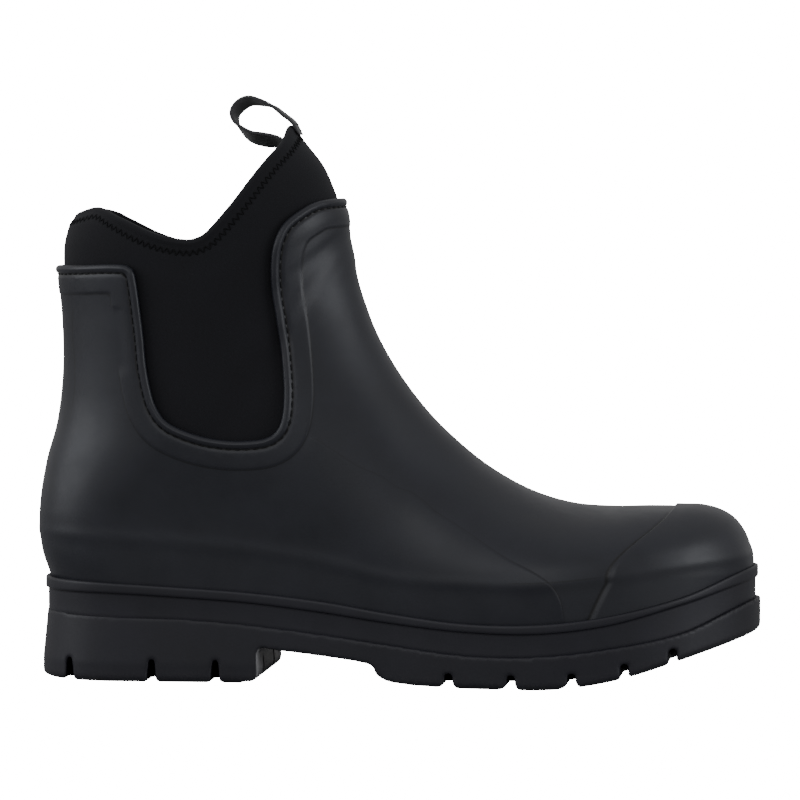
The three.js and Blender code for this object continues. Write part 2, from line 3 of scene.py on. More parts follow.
import bmesh
import bpy
import numpy as np
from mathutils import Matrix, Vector


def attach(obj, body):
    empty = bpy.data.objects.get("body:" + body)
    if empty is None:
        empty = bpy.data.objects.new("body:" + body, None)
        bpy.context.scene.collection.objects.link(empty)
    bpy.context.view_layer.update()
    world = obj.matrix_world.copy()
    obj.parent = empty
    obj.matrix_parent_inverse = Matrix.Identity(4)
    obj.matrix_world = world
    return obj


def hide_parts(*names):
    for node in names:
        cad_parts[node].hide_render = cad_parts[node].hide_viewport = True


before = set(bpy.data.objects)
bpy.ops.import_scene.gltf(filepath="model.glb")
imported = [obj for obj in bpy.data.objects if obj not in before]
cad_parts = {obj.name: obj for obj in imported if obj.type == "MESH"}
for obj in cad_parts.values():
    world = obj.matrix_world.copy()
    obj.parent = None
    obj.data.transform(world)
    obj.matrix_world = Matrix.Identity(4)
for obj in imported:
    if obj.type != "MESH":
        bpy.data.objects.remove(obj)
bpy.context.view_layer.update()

# The boot is worked out in millimetres: x from the heel end of the sole to the toe, y across the
# foot with the inner side positive, z up from the ground. This shift takes it into the frame.
MM = 0.001
FRAME_SHIFT = np.array([-138.32, -0.21, 0.0])

# Driving sizes of the last and the sole
SOLE_LENGTH = 280.0
BALL_WIDTH = 98.0
TOE_HEIGHT = 67.0
SHAFT_HEIGHT = 185.0
RAND_HEIGHT = 39.1

# Walls, overlays and clearances
SHELL_WALL = 2.2
SLEEVE_WALL = 3.0
CLEARANCE = 0.3
TOE_LEDGE = 2.4
HEEL_LEDGE = 1.2
CAP_RAISE = 0.9
FLOOR_THICKNESS = 4.5
SLEEVE_LOW = 79.0

# Sole
TOE_SPRING = 20.0
HEEL_NOTCH_DEPTH = 9.0
TREAD_DEPTH = 5.7
GROOVE_WIDTH = 3.0
HEEL_GROOVE_WIDTH = 2.0
TOE_BAND_INSET = 1.9
HEEL_BAND_INSET = 0.2
TOE_BEAD_INSET = 0.9
HEEL_BEAD_GROWTH = 0.8
HEEL_FLARE = 1.9
EDGE_ROUND = 1.6

# Pull loop
RIBBON_WIDTH = 10.0
RIBBON_THICKNESS = 1.2

# Rungs of the last, from the top or front line to the bottom or back line. x is a share of the
# sole length, z a height share: -1 at the ground, 0 at the toe box top, 1 at the shaft top.
LADDER_COLUMNS = ("top_x", "top_z", "base_x", "base_z", "round", "full")
LADDER = (
    (0.9885, -0.358, 0.968, -0.94, 0.10, 2.0),
    (0.9855, -0.261, 0.962, -0.94, 0.12, 2.0),
    (0.9755, -0.145, 0.948, -0.94, 0.21, 2.1),
    (0.9570, -0.054, 0.927, -0.94, 0.29, 2.2),
    (0.927, -0.003, 0.900, -0.94, 0.33, 2.3),
    (0.889, 0.003, 0.868, -0.94, 0.35, 2.4),
    (0.845, 0.004, 0.830, -0.94, 0.37, 2.4),
    (0.793, 0.002, 0.788, -0.94, 0.40, 2.3),
    (0.736, 0.014, 0.736, -0.94, 0.44, 2.2),
    (0.679, 0.057, 0.679, -0.94, 0.50, 2.1),
    (0.623, 0.132, 0.621, -0.94, 0.55, 2.0),
    (0.5745, 0.225, 0.564, -0.94, 0.59, 1.9),
    (0.5338, 0.323, 0.500, -0.94, 0.60, 1.9),
    (0.4950, 0.446, 0.414, -0.94, 0.58, 1.9),
    (0.4658, 0.568, 0.293, -0.94, 0.55, 1.9),
    (0.4465, 0.686, 0.164, -0.94, 0.52, 1.9),
    (0.4372, 0.763, 0.064, -0.94, 0.50, 1.9),
    (0.4340, 0.818, 0.009, -0.88, 0.50, 1.9),
    (0.4308, 0.856, 0.008, -0.50, 0.50, 1.9),
    (0.428, 0.886, -0.0085, -0.26, 0.50, 1.9),
    (0.427, 0.911, -0.012, -0.030, 0.50, 1.9),
    (0.426, 0.935, -0.003, 0.136, 0.50, 1.95),
    (0.425, 0.958, 0.013, 0.280, 0.50, 1.95),
    (0.423, 0.977, 0.021, 0.449, 0.50, 2.0),
    (0.420, 1.000, 0.020, 0.619, 0.50, 2.0),
    (0.414, 1.047, 0.014, 0.792, 0.50, 2.0),
    (0.398, 1.125, 0.0175, 0.895, 0.50, 2.0),
    (0.3735, 1.208, 0.0320, 0.968, 0.50, 2.0),
    (0.3415, 1.300, 0.0740, 1.042, 0.50, 2.0),
)
HEEL_CORNER_ROW = 17

# The sole from above at tenths of its length: half width and middle as shares of the ball width
OUTLINE_COLUMNS = ("half", "middle")
OUTLINE = (
    (0.339, 0.000),
    (0.339, -0.002),
    (0.336, -0.007),
    (0.331, -0.014),
    (0.335, -0.022),
    (0.370, -0.022),
    (0.447, -0.008),
    (0.497, 0.000),
    (0.503, 0.010),
    (0.495, 0.025),
    (0.480, 0.040),
)
TOE_ROUND_START = 0.711
TOE_FULLNESS = 2.15
HEEL_ROUND_END = 0.128
HEEL_FULLNESS = 2.2
SHAFT_HEEL_ROUND = 0.204

# Lines along the sole's side at tenths of its length, as shares of the rand height
SIDE_COLUMNS = ("step", "bead_low", "bead_top", "shoulder")
SIDE = (
    (0.670, 0.877, 1.000, 1.458),
    (0.645, 0.875, 0.982, 1.432),
    (0.629, 0.841, 0.946, 1.389),
    (0.578, 0.793, 0.900, 1.325),
    (0.496, 0.711, 0.824, 1.223),
    (0.404, 0.616, 0.716, 1.064),
    (0.330, 0.555, 0.642, 1.023),
    (0.332, 0.550, 0.645, 1.023),
    (0.412, 0.637, 0.729, 1.095),
    (0.552, 0.828, 0.901, 1.215),
    (0.832, 1.030, 1.160, 1.279),
)

# Half width of the shaft as a share of the ball width, by height share in steps of a quarter
SHAFT_COLUMNS = ("half",)
SHAFT = ((0.350,), (0.350,), (0.358,), (0.368,), (0.380,), (0.372,), (0.340,))
SHAFT_ROW_STEP = 0.25
ANKLE_BLEND = 0.30
TUCK_SHARE = 0.13

# The shell's rim in side view: x as a share of the sole length, z as a height share
LINE_COLUMNS = ("x", "z")
RIM = (
    (0.000, 0.793),
    (0.055, 0.797),
    (0.108, 0.802),
    (0.134, 0.797),
    (0.141, 0.775),
    (0.146, 0.713),
    (0.150, 0.640),
    (0.154, 0.560),
    (0.157, 0.480),
    (0.163, 0.400),
    (0.172, 0.335),
    (0.190, 0.284),
    (0.225, 0.248),
    (0.262, 0.230),
    (0.300, 0.228),
    (0.330, 0.242),
    (0.345, 0.285),
    (0.349, 0.375),
    (0.345, 0.500),
    (0.338, 0.620),
    (0.332, 0.710),
    (0.331, 0.797),
    (0.335, 0.870),
    (0.346, 0.930),
    (0.364, 0.971),
    (0.388, 1.006),
    (0.415, 1.018),
    (0.450, 1.019),
)

# The edge of the stretch collar in side view
COLLAR = (
    (0.000, 0.984),
    (0.030, 0.992),
    (0.052, 1.003),
    (0.074, 1.013),
    (0.092, 0.999),
    (0.109, 0.968),
    (0.143, 0.923),
    (0.176, 0.893),
    (0.209, 0.879),
    (0.226, 0.884),
    (0.243, 0.908),
    (0.277, 0.998),
    (0.310, 1.101),
    (0.327, 1.153),
    (0.3445, 1.203),
    (0.3525, 1.240),
    (0.3600, 1.305),
    (0.3800, 1.318),
)
COLLAR_SKEW = 4.0
COLLAR_TILT = 1.8
COLLAR_NEAR_SIDE = 0.3

# The edge of the side panel, from the window's front corner down to the sole
PANEL = (
    (0.392, 0.235),
    (0.426, 0.183),
    (0.450, 0.147),
    (0.483, 0.112),
    (0.505, 0.077),
    (0.527, 0.057),
    (0.554, 0.008),
    (0.600, -0.105),
    (0.655, -0.245),
    (0.700, -0.335),
    (0.722, -0.400),
    (0.734, -0.480),
    (0.739, -0.580),
    (0.741, -0.700),
)

# The toe cap's edge in plan view
CAP_FRONT = 0.882
CAP_SWEEP = 0.107
CAP_POWER = 3.0

# The arch between heel and tread: x a share of the sole length, z of the rand height
ARCH = (
    (0.287, -0.150),
    (0.290, 0.000),
    (0.304, 0.018),
    (0.312, 0.055),
    (0.3145, 0.120),
    (0.315, 0.338),
    (0.345, 0.325),
    (0.412, 0.272),
    (0.462, 0.222),
    (0.475, 0.178),
    (0.480, 0.108),
    (0.497, 0.044),
    (0.531, 0.015),
    (0.575, -0.010),
    (0.580, -0.150),
)
HEEL_GROOVES = (0.047, 0.165, 0.254)
FORE_GROOVES = (0.581, 0.668, 0.751, 0.822, 0.886)
SPRING_START = 0.686
SPRING_BEND = 0.55
SPINE_HALF = 0.16

# Pull loop: x a share of the sole length, z a height share, turn in degrees about its own route
LOOP_COLUMNS = ("x", "z", "turn")
LOOP = (
    (0.3594, 1.2290, 0),
    (0.3536, 1.2484, 0),
    (0.3460, 1.2720, 0),
    (0.3344, 1.2930, 0),
    (0.3203, 1.3190, 2),
    (0.3060, 1.3320, 9),
    (0.2875, 1.3400, 18),
    (0.2757, 1.3294, 21),
    (0.2676, 1.3100, 18),
    (0.2650, 1.2909, 10),
    (0.2676, 1.2660, -2),
    (0.2775, 1.2400, -14),
    (0.2899, 1.2200, -24),
    (0.3075, 1.2105, -30),
    (0.3250, 1.2040, -24),
    (0.3415, 1.1880, -12),
    (0.3525, 1.1600, -4),
    (0.3630, 1.1200, 0),
)


def column(table, names, name):
    return np.array([row[names.index(name)] for row in table], dtype=float)


def read_rows(values, row):
    """Smooth reading of a column of values at fractional rows."""
    row = np.asarray(row, dtype=float)
    last = len(values) - 1
    place = np.clip(row, 0, last)
    index = np.minimum(np.floor(place).astype(int), last - 1)
    share = place - index
    before = values[np.maximum(index - 1, 0)]
    start = values[index]
    end = values[index + 1]
    after = values[np.minimum(index + 2, last)]
    slope_start = (end - before) / 2
    slope_end = (after - start) / 2
    square = share * share
    cube = square * share
    return (
        (2 * cube - 3 * square + 1) * start
        + (cube - 2 * square + share) * slope_start
        + (3 * square - 2 * cube) * end
        + (cube - square) * slope_end
    )


def level_at(share):
    share = np.asarray(share, dtype=float)
    high = TOE_HEIGHT + share * (SHAFT_HEIGHT - TOE_HEIGHT)
    return np.where(share < 0, TOE_HEIGHT * (1 + share), high)


def along_sole(table, names, name, x):
    values = column(table, names, name)
    return read_rows(values, np.asarray(x) / SOLE_LENGTH * (len(values) - 1))


def side_line(name, x):
    return along_sole(SIDE, SIDE_COLUMNS, name, x) * RAND_HEIGHT


def middle_at(x):
    return along_sole(OUTLINE, OUTLINE_COLUMNS, "middle", x) * BALL_WIDTH


def smooth_step(value):
    share = np.clip(value, 0, 1)
    return share * share * (3 - 2 * share)


def round_off(distance, reach, fullness):
    share = np.clip(distance / reach, 0, 1)
    return np.power(1 - np.power(1 - share, fullness), 1 / fullness)


LADDER_VALUES = {name: column(LADDER, LADDER_COLUMNS, name) for name in LADDER_COLUMNS}


def rung_ends(row):
    top_x = read_rows(LADDER_VALUES["top_x"], row) * SOLE_LENGTH
    top_z = level_at(read_rows(LADDER_VALUES["top_z"], row))
    base_x = read_rows(LADDER_VALUES["base_x"], row) * SOLE_LENGTH
    base_z = level_at(read_rows(LADDER_VALUES["base_z"], row))
    return top_x, top_z, base_x, base_z


BACK_ROWS = np.arange(HEEL_CORNER_ROW, len(LADDER) - 1 + 0.01, 0.02)
BACK_X, BACK_Z = rung_ends(BACK_ROWS)[2:]


def back_at(z):
    return np.interp(z, BACK_Z, BACK_X)


TIP = rung_ends(0.0)


def tip_at(z):
    share = np.clip((z - TIP[3]) / (TIP[1] - TIP[3]), 0, 1)
    return TIP[2] + (TIP[0] - TIP[2]) * share


def half_width(x, z, top_distance, reach, full):
    """Half width of the last at points of its side view."""
    along = np.clip(x / SOLE_LENGTH, 0, 1)
    ledge = HEEL_LEDGE + (TOE_LEDGE - HEEL_LEDGE) * along
    foot = along_sole(OUTLINE, OUTLINE_COLUMNS, "half", x) * BALL_WIDTH - ledge
    share = np.where(z < TOE_HEIGHT, 0, (z - TOE_HEIGHT) / (SHAFT_HEIGHT - TOE_HEIGHT))
    shaft_values = column(SHAFT, SHAFT_COLUMNS, "half")
    shaft = read_rows(shaft_values, share / SHAFT_ROW_STEP) * BALL_WIDTH
    shoulder = side_line("shoulder", x)
    rise = smooth_step((z - shoulder) / (ANKLE_BLEND * SHAFT_HEIGHT))
    width = foot + (shaft - foot) * rise
    toe = round_off(tip_at(z) - x, tip_at(z) - TOE_ROUND_START * SOLE_LENGTH, TOE_FULLNESS)
    back_reach = (HEEL_ROUND_END + (SHAFT_HEEL_ROUND - HEEL_ROUND_END) * rise) * SOLE_LENGTH
    back_full = HEEL_FULLNESS + (2 - HEEL_FULLNESS) * rise
    back = round_off(x - back_at(z), back_reach, back_full)
    below = np.clip((shoulder - z) / shoulder, 0, 1)
    tuck = 1 - TUCK_SHARE * (1 - np.sqrt(1 - below * below))
    return width * tuck * toe * back * round_off(top_distance, reach, full)


def last_points(u, v, side):
    """Points of the last: u is the rung, v runs down it from 0 to 1, side is -1 for outer."""
    top_x, top_z, base_x, base_z = rung_ends(u)
    length = np.hypot(base_x - top_x, base_z - top_z)
    reach = read_rows(LADDER_VALUES["round"], u) * length
    full = read_rows(LADDER_VALUES["full"], u)
    share = (1 - np.cos(np.pi * v)) / 2
    x = top_x + (base_x - top_x) * share
    z = top_z + (base_z - top_z) * share
    half = half_width(x, z, share * length, reach, full)
    closed = (u <= 0) | (v <= 0) | ((v >= 1) & (u >= HEEL_CORNER_ROW))
    half = np.where(closed, 0, half)
    middle = middle_at(x) * (1 - smooth_step((z - TOE_HEIGHT) / (SHAFT_HEIGHT - TOE_HEIGHT)))
    return np.stack([x, middle + side * half, z], axis=1)


LAST_ROW = float(len(LADDER) - 1)
ROW_NUDGE = 0.02
SHARE_NUDGE = 0.004


def last_normals(u, v, side):
    """Unit normals of the last, pointing outwards."""
    row_low = np.clip(u - ROW_NUDGE, 0, LAST_ROW)
    row_high = np.clip(u + ROW_NUDGE, 0, LAST_ROW)
    along = last_points(row_high, v, side) - last_points(row_low, v, side)
    share_low = np.clip(v - SHARE_NUDGE, 0, 1)
    share_high = np.clip(v + SHARE_NUDGE, 0, 1)
    down = last_points(u, share_high, side) - last_points(u, share_low, side)
    normal = np.cross(along, down) * np.where(side < 0, 1.0, -1.0)[:, None]
    length = np.linalg.norm(normal, axis=1)
    return normal / np.maximum(length, 1e-12)[:, None]


def smooth_line(table, names, steps):
    """A fine polyline in side view through the rows of a table."""
    rows = np.linspace(0, len(table) - 1, steps)
    x = read_rows(column(table, names, "x"), rows) * SOLE_LENGTH
    z = level_at(read_rows(column(table, names, "z"), rows))
    return np.stack([x, z], axis=1)


def line_distance(points, line, near=30.0):
    """Signed distance to a polyline, positive on its right, and the run along it."""
    start = line[:-1]
    step = line[1:] - line[:-1]
    length = np.linalg.norm(step, axis=1)
    run = np.concatenate([[0], np.cumsum(length)])
    distance = np.full(len(points), near)
    place = np.zeros(len(points))
    coarse = line[:: max(1, len(line) // 40)]
    gap = np.linalg.norm(points[:, None] - coarse[None], axis=2)
    close = gap.min(axis=1) < near
    chosen = np.nonzero(close)[0]
    for block in np.array_split(chosen, max(1, len(chosen) // 4000)):
        if len(block) == 0:
            continue
        offset = points[block][:, None] - start[None]
        share = np.clip((offset * step[None]).sum(axis=2) / (length**2)[None], 0, 1)
        away = offset - share[..., None] * step[None]
        size = np.linalg.norm(away, axis=2)
        best = size.argmin(axis=1)
        rows = np.arange(len(block))
        cross = step[best, 0] * away[rows, best, 1] - step[best, 1] * away[rows, best, 0]
        distance[block] = size[rows, best] * np.where(cross > 0, -1, 1)
        place[block] = run[best] + share[rows, best] * length[best]
    far = ~close
    if far.any():
        nearest = gap[far].argmin(axis=1)
        index = np.minimum(nearest * max(1, len(line) // 40), len(step) - 1)
        away = points[far] - line[index]
        cross = step[index, 0] * away[:, 1] - step[index, 1] * away[:, 0]
        distance[far] = near * np.where(cross > 0, -1, 1)
    return distance, place


RIM_LINE = smooth_line(RIM, LINE_COLUMNS, 600)
COLLAR_LINE = smooth_line(COLLAR, LINE_COLUMNS, 500)
PANEL_LINE = smooth_line(PANEL, LINE_COLUMNS, 260)


def extend(line, first, last):
    return np.concatenate([[first], line, [last]])


BEYOND = 90.0
RIM_LINE = extend(RIM_LINE, [-BEYOND, RIM_LINE[0, 1]], [3 * BEYOND, RIM_LINE[-1, 1]])
COLLAR_LINE = extend(COLLAR_LINE, [-BEYOND, COLLAR_LINE[0, 1]], [3 * BEYOND, COLLAR_LINE[-1, 1]])


class Sheet:
    """One side of the last as triangles over (u, v). Both sides weld along their shared lines."""

    def __init__(self, side, rows, columns, front_rows=0.0, back_rows=LAST_ROW):
        share = np.linspace(0, 1, rows + 1)
        if front_rows == 0.0:
            share = share**1.5 * 0.35 + share * 0.65
        u_line = front_rows + (back_rows - front_rows) * share
        v_line = np.linspace(0, 1, columns + 1)
        u_grid, v_grid = np.meshgrid(u_line, v_line, indexing="ij")
        self.side = side
        self.u = u_grid.ravel()
        self.v = v_grid.ravel()
        index = np.arange(len(self.u)).reshape(rows + 1, columns + 1)
        a = index[:-1, :-1].ravel()
        b = index[1:, :-1].ravel()
        c = index[1:, 1:].ravel()
        d = index[:-1, 1:].ravel()
        if side < 0:
            faces = [np.stack([a, c, b], axis=1), np.stack([a, d, c], axis=1)]
        else:
            faces = [np.stack([a, b, c], axis=1), np.stack([a, c, d], axis=1)]
        self.faces = np.concatenate(faces)
        self.locked = (self.u <= 0) | (self.u >= LAST_ROW) | (self.v <= 0) | (self.v >= 1)

    def sides(self):
        return np.full(len(self.u), float(self.side))

    def points(self):
        return last_points(self.u, self.v, self.sides())

    def normals(self):
        return last_normals(self.u, self.v, self.sides())

    def cut(self, field, level, keep=0):
        """Adds an edge line where field is level. keep 1 or -1 drops the other side."""
        value = field(self.points()) - level
        faces = self.faces
        pairs = np.concatenate([faces[:, [0, 1]], faces[:, [1, 2]], faces[:, [2, 0]]])
        crossing = value[pairs[:, 0]] * value[pairs[:, 1]] < 0
        pairs = np.unique(np.sort(pairs[crossing], axis=1), axis=0)
        share = value[pairs[:, 0]] / (value[pairs[:, 0]] - value[pairs[:, 1]])
        snap = 0.18
        for near, far, close in ((0, 1, share < snap), (1, 0, share > 1 - snap)):
            chosen = close & ~self.locked[pairs[:, near]] & (value[pairs[:, near]] != 0)
            ends, first = np.unique(pairs[chosen, near], return_index=True)
            others = pairs[chosen, far][first]
            part = share[chosen][first] if near == 0 else 1 - share[chosen][first]
            self.u[ends] += (self.u[others] - self.u[ends]) * part
            self.v[ends] += (self.v[others] - self.v[ends]) * part
            value[ends] = 0
            self.locked[ends] = True
        still = value[pairs[:, 0]] * value[pairs[:, 1]] < 0
        pairs = pairs[still]
        share = value[pairs[:, 0]] / (value[pairs[:, 0]] - value[pairs[:, 1]])
        count = len(self.u)
        new_u = self.u[pairs[:, 0]] * (1 - share) + self.u[pairs[:, 1]] * share
        new_v = self.v[pairs[:, 0]] * (1 - share) + self.v[pairs[:, 1]] * share
        keys = pairs[:, 0].astype(np.int64) * count + pairs[:, 1]
        self.u = np.concatenate([self.u, new_u])
        self.v = np.concatenate([self.v, new_v])
        self.locked = np.concatenate([self.locked, np.ones(len(new_u), bool)])
        value = np.concatenate([value, np.zeros(len(new_u))])

        def middle_of(a, b):
            low = np.minimum(a, b).astype(np.int64)
            high = np.maximum(a, b)
            return count + np.searchsorted(keys, low * count + high)

        sign = np.sign(value)
        faces_sign = sign[faces]
        cross = faces_sign * np.roll(faces_sign, -1, axis=1) < 0
        crossings = cross.sum(axis=1)
        result = [faces[crossings == 0]]
        two = np.nonzero(crossings == 2)[0]
        for corner in range(3):
            rows = two[cross[two, corner] & cross[two, (corner + 2) % 3]]
            p, q, r = (faces[rows, (corner + k) % 3] for k in range(3))
            pq = middle_of(p, q)
            pr = middle_of(p, r)
            result.append(np.stack([p, pq, pr], axis=1))
            result.append(np.stack([pq, q, r], axis=1))
            result.append(np.stack([pq, r, pr], axis=1))
        one = np.nonzero(crossings == 1)[0]
        for corner in range(3):
            rows = one[cross[one, (corner + 1) % 3]]
            p, q, r = (faces[rows, (corner + k) % 3] for k in range(3))
            qr = middle_of(q, r)
            result.append(np.stack([p, q, qr], axis=1))
            result.append(np.stack([p, qr, r], axis=1))
        self.faces = np.concatenate(result)
        if keep:
            total = sign[self.faces].sum(axis=1) * keep
            self.faces = self.faces[total > 0]
        return self

    def tidy(self):
        used, faces = np.unique(self.faces, return_inverse=True)
        self.faces = faces.reshape(-1, 3)
        self.u = self.u[used]
        self.v = self.v[used]
        self.locked = self.locked[used]
        return self


class Form:
    """A mesh in millimetres with named values at its vertices."""

    def __init__(self):
        self.points = np.zeros((0, 3))
        self.faces = []
        self.values = {}
        self.slots = []

    def add(self, points, faces, slot=0, **values):
        base = len(self.points)
        self.points = np.concatenate([self.points, points])
        for name in set(self.values) | set(values):
            old = self.values.get(name, np.zeros(base))
            new = values.get(name, np.zeros(len(points)))
            self.values[name] = np.concatenate([old, new])
        added = (np.asarray(faces) + base).tolist()
        self.faces.extend(added)
        self.slots.extend([slot] * len(added))
        return base


def weld(points, faces, gap=0.02):
    """Joins points that lie together, and leaves out the faces that collapse."""
    keys = np.round(points / gap).astype(np.int64)
    _, first, inverse = np.unique(keys, axis=0, return_index=True, return_inverse=True)
    inverse = inverse.ravel()
    welded = inverse[faces]
    fine = (
        (welded[:, 0] != welded[:, 1])
        & (welded[:, 1] != welded[:, 2])
        & (welded[:, 2] != welded[:, 0])
    )
    return first, inverse, welded[fine]


def placed(name, data):
    """A new object in the scene for a mesh, light or camera."""
    thing = bpy.data.objects.new(name, data)
    bpy.context.scene.collection.objects.link(thing)
    return thing


def set_values(mesh, name, values):
    """A named value at each vertex, for the materials to read."""
    attribute = mesh.attributes.new(name, "FLOAT", "POINT")
    attribute.data.foreach_set("value", np.asarray(values, dtype=np.float32))


def make_object(name, form, materials):
    mesh = bpy.data.meshes.new(name)
    points = (form.points + FRAME_SHIFT) * MM
    mesh.from_pydata(points.tolist(), [], form.faces)
    mesh.update()
    for key, values in form.values.items():
        set_values(mesh, key, values)
    for material in materials:
        mesh.materials.append(material)
    if len(materials) > 1:
        mesh.polygons.foreach_set("material_index", np.array(form.slots, dtype=np.int32))
    mesh.polygons.foreach_set("use_smooth", np.full(len(mesh.polygons), True))
    return placed(name, mesh)


def boundary(faces, flags):
    """Directed edges with one face only, whose two ends are both flagged."""
    edges = np.concatenate([faces[:, [0, 1]], faces[:, [1, 2]], faces[:, [2, 0]]])
    ordered = np.sort(edges, axis=1)
    _, inverse, counts = np.unique(ordered, axis=0, return_inverse=True, return_counts=True)
    single = counts[inverse.ravel()] == 1
    edges = edges[single]
    return edges[flags[edges[:, 0]] & flags[edges[:, 1]]]


def side_view(points):
    return points[:, [0, 2]]


def rim_field(points):
    return line_distance(side_view(points), RIM_LINE)[0]


def floor_field(points):
    return points[:, 2] - (side_line("step", points[:, 0]) + CLEARANCE + FLOOR_THICKNESS)


def collar_field(points):
    """Distance below the collar's edge, read in the collar's own skewed side view."""
    turn = math.radians(-COLLAR_SKEW)
    tilt = math.radians(COLLAR_TILT)
    y = points[:, 1] + COLLAR_NEAR_SIDE * BALL_WIDTH
    x = points[:, 0] * math.cos(turn) - y * math.sin(turn)
    y = points[:, 0] * math.sin(turn) + y * math.cos(turn)
    z = y * math.sin(tilt) + points[:, 2] * math.cos(tilt)
    return line_distance(np.stack([x, z], axis=1), COLLAR_LINE)[0]


# Below this height over the bead the toe cap's edge runs back by this much for each millimetre
CAP_LOW = 12.8
CAP_RUN_BACK = 0.42


def cap_field(points):
    """Distance in front of the toe cap's edge, in plan view."""
    centre = middle_at(np.full(len(points), CAP_FRONT * SOLE_LENGTH))
    y = points[:, 1]
    reach = np.where(y < centre, BALL_WIDTH / 2 + centre, BALL_WIDTH / 2 - centre)
    side = np.clip((y - centre) / reach, -1, 1)
    edge = (CAP_FRONT - CAP_SWEEP * np.abs(side) ** CAP_POWER) * SOLE_LENGTH
    low = CAP_LOW - (points[:, 2] - side_line("bead_top", points[:, 0]))
    edge = edge - CAP_RUN_BACK * np.clip(low, 0, None)
    slope = CAP_POWER * CAP_SWEEP * np.abs(side) ** (CAP_POWER - 1) * SOLE_LENGTH / (BALL_WIDTH / 2)
    return (points[:, 0] - edge) / np.sqrt(1 + slope**2)


def panel_field(points):
    """Distance behind and below the side panel's edge."""
    return line_distance(side_view(points), PANEL_LINE)[0]


SLEEVE_SLOPE = 0.35
SLEEVE_CENTRE = 0.25


def sleeve_low_field(points):
    line = SLEEVE_LOW + SLEEVE_SLOPE * (points[:, 0] - SLEEVE_CENTRE * SOLE_LENGTH)
    return points[:, 2] - line


# The shell's raise over the last by the distance from its rim: a rolled edge, a stitched groove
# and a flat band that ends in a step.
RIM_COLUMNS = ("away", "raise")
RIM_PROFILE = (
    (0.0, 0.55),
    (0.5, 0.80),
    (1.2, 0.88),
    (2.0, 0.82),
    (2.7, 0.55),
    (3.1, 0.05),
    (3.5, -0.15),
    (4.0, 0.05),
    (4.5, 0.26),
    (5.2, 0.30),
    (10.3, 0.30),
    (10.8, 0.24),
    (11.2, 0.03),
    (11.7, 0.00),
)
# The band's lower edge fades out on the shaft between these heights
BAND_PLAIN_LOW = 117.0
BAND_PLAIN_HIGH = 143.5
BAND_PLAIN_FRONT = 60.0
# Upright strip line behind the shaft: x and z
STAY = ((12.8, 145.0), (12.4, 134.0), (13.4, 124.0), (13.6, 114.0), (12.2, 104.0), (10.0, 96.0))
PANEL_STRONG = 52.0
RIM_TRIM = 1.5
RIM_CUTS = (2.0, 2.6, 3.0, 3.4, 3.8, 4.3, 5.0, 10.3, 10.8, 11.2, 11.7)
CAP_CUTS = (-1.2, -0.5, -0.1, 0.3, 0.8)
PANEL_CUTS = (-0.8, -0.35, 0.0, 0.35, 0.8)
PANEL_RAISE = 0.35
PANEL_FADE = 14.0


def shell_raise(points):
    """How far the shell's outside stands over the last, and its fields."""
    rim = line_distance(side_view(points), RIM_LINE)[0]
    away = column(RIM_PROFILE, RIM_COLUMNS, "away")
    lift = np.interp(rim, away, column(RIM_PROFILE, RIM_COLUMNS, "raise"))
    cap = cap_field(points)
    step = smooth_step((cap + 0.55) / 1.0)
    groove = np.exp(-((cap + 0.75) / 0.35) ** 2)
    lift = lift + CAP_RAISE * step - 0.22 * groove
    panel = panel_field(points)
    height = points[:, 2]
    plain_shaft = smooth_step((height - BAND_PLAIN_LOW) / 6)
    plain_shaft = plain_shaft * smooth_step((BAND_PLAIN_HIGH + 2.5 - height) / 2.5)
    plain_shaft = plain_shaft * smooth_step((BAND_PLAIN_FRONT - points[:, 0]) / 8)
    lift = lift * (1 - plain_shaft * smooth_step((rim - 5.5) / 4.5))
    below = smooth_step((panel + 0.3) / 0.6)
    near = np.clip(1 - (panel - 0.3) / PANEL_FADE, 0, 1)
    behind_cap = smooth_step((-cap - 2) / 6)
    free = smooth_step((rim - 11.5) / 3)
    strong = 0.45 + 0.55 * smooth_step((PANEL_STRONG - height) / 14)
    panel_lift = PANEL_RAISE * strong * below * near**2 * behind_cap * free
    lift = lift + panel_lift
    shoulder = points[:, 2] - side_line("shoulder", points[:, 0])
    ridge = np.exp(-(shoulder / 2.2) ** 2)
    lift = lift + 0.28 * ridge
    stay_x = np.interp(height, [z for _, z in STAY[::-1]], [x for x, _ in STAY[::-1]])
    stay_share = smooth_step((height - STAY[-1][1]) / 14) * smooth_step((STAY[0][1] - height) / 3)
    # Mask for the painted highlight at the corner by the cap
    corner = smooth_step((cap + 22) / 6) * smooth_step((-panel - 0.2) / 0.8)
    corner = corner * smooth_step((1.0 - shoulder) / 2.5) * smooth_step((26 - cap) / 14)
    # Mask for the painted shade along the shoulder crease
    crease = smooth_step((cap + 21) / 5) * smooth_step((-cap - 0.5) / 2)
    fields = {
        "rim": rim,
        "cap": cap,
        "panel": panel,
        "shoulder": shoulder,
        "stay": points[:, 0] - stay_x,
        "stay_share": stay_share,
        "band_share": 1 - plain_shaft,
        "panel_share": strong * behind_cap * free,
        "corner": corner,
        "crease_share": crease,
    }
    return lift, fields


SHELL_ROWS = 330
SHELL_COLUMNS = 105
ROLL_STEPS = 7
EDGE_REACH = 0.7


